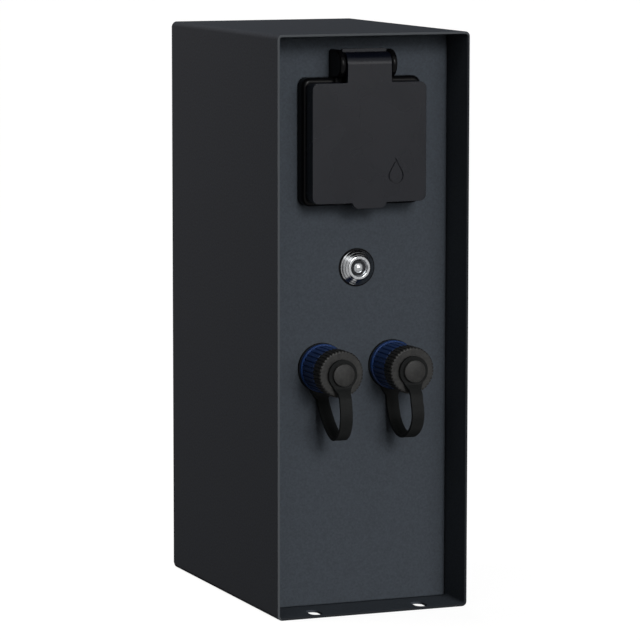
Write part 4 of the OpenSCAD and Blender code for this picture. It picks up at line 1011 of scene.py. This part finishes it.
# %% The hanging line
half_t = STRAP_T / 2
STRAP_START = (half_t, -RING_DROP)
STRAP_ROOT = [STRAP_START, (half_t, -12.5), (half_t, -12.7)]
STRAP_TAIL = [(33.75, -15.5), (33.05, -12.3), (31.25, -9.6), (29.65, -7.6), (29.15, -6),
              (29.15, -EYELET_DROP)]
LEFT_LOOP = [(1.05, -14.6), (2.2, -17.2), (4.4, -20.2), (7.5, -23.8), (11.6, -28), (17.2, -32),
             (23, -33.9), (28.6, -32.5), (32.6, -28.4), (34.3, -23.5), (34.4, -19)]
RIGHT_LOOP = [(0.95, -14.6), (1.4, -18.2), (2.9, -23), (5.8, -28.6), (10.5, -32.6), (16, -34.7),
              (22, -34.8), (28, -32.6), (32.8, -28.8), (35.1, -24), (35, -19.3)]


def smooth_line(knots, steps=14):
    """A smooth line through the knots, made of Bezier spans."""
    knots = [Vector((f, h, 0)) for f, h in knots]
    last = len(knots) - 1

    def tangent(i):
        before, after = knots[max(i - 1, 0)], knots[min(i + 1, last)]
        spans = [(knots[i] - before).length, (after - knots[i]).length]
        return (after - before).normalized() * min(s for s in spans if s > 0)

    line = []
    for i in range(last):
        a, b = knots[i], knots[i + 1]
        line += interpolate_bezier(a, a + tangent(i) / 3, b - tangent(i + 1) / 3, b, steps)[:-1]
    return line + [knots[last]]


def along(line, distance):
    """The point and the direction at a distance along a line, straight on past its ends."""
    gone = 0.0
    for a, b in zip(line, line[1:]):
        span = (b - a).length
        if distance <= gone + span or b is line[-1]:
            way = (b - a) / span
            return a + way * (distance - gone), way
        gone += span


def bend(flat, line, x):
    """Carries the points of a flat strap to their places along the line."""
    for vert in flat.verts:
        point, way = along(line, vert.co.y)
        if vert.co.y <= 0:
            point, way = Vector((STRAP_START[0], STRAP_START[1] - vert.co.y, 0)), Vector((0, -1, 0))
        out = Vector((-way.y, way.x, 0))
        spot = point + out * vert.co.z
        vert.co = (x + vert.co.x, front(spot.x), CONNECTOR_Z + spot.y)
    return flat


for (name, x), loop in zip(SIDES, (LEFT_LOOP, RIGHT_LOOP)):
    line = smooth_line(STRAP_ROOT + loop + STRAP_TAIL)
    length = sum((b - a).length for a, b in zip(line, line[1:]))
    strap = bend(strap_blank(length), line, x)
    bmesh.ops.recalc_face_normals(strap, faces=strap.faces)
    band = piece(strap, name + "_rubber_strap", "strap_rubber", None,
                 [name + "_cap_strap", name + "_strap_eyelet"], edge=0.3)
    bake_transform(band)
    print(name, "strap band of", round(length, 1), "mm")

# %% [markdown]
# ## The carried-over CAD nodes
# Screws, seals, the outlet's insert and everything inside the housing keep their CAD shapes. Each
# takes the finish that the record names. Those that can be seen also get softened edges: Weld joins
# their loose triangles first, because a bevel needs edges that are shared.

# %% Finishes for CAD nodes
SEEN_NODES = ("rear_cover", "rear_cover_screws", "socket_insert", "socket_screws", "contact_sleeves",
              "earth_clip", "lid_seal", "socket_gasket", "switch_gasket", "gland_dome_nut", "hinge_pin")
NODE_EDGE, WELD_REACH = 0.15, 1e-6
slot_of = {part["node"]: part["material_slot"] for part in frame["record"]["subparts"]}
for node, obj in frame["nodes"].items():
    obj.data.materials.clear()
    obj.data.materials.append(finishes[slot_of[node]])
for node in SEEN_NODES:
    obj = frame["nodes"][node]
    weld = obj.modifiers.new("weld", "WELD")
    weld.merge_threshold = WELD_REACH
    soften(obj, NODE_EDGE)
print(len(frame["nodes"]), "CAD nodes finished")
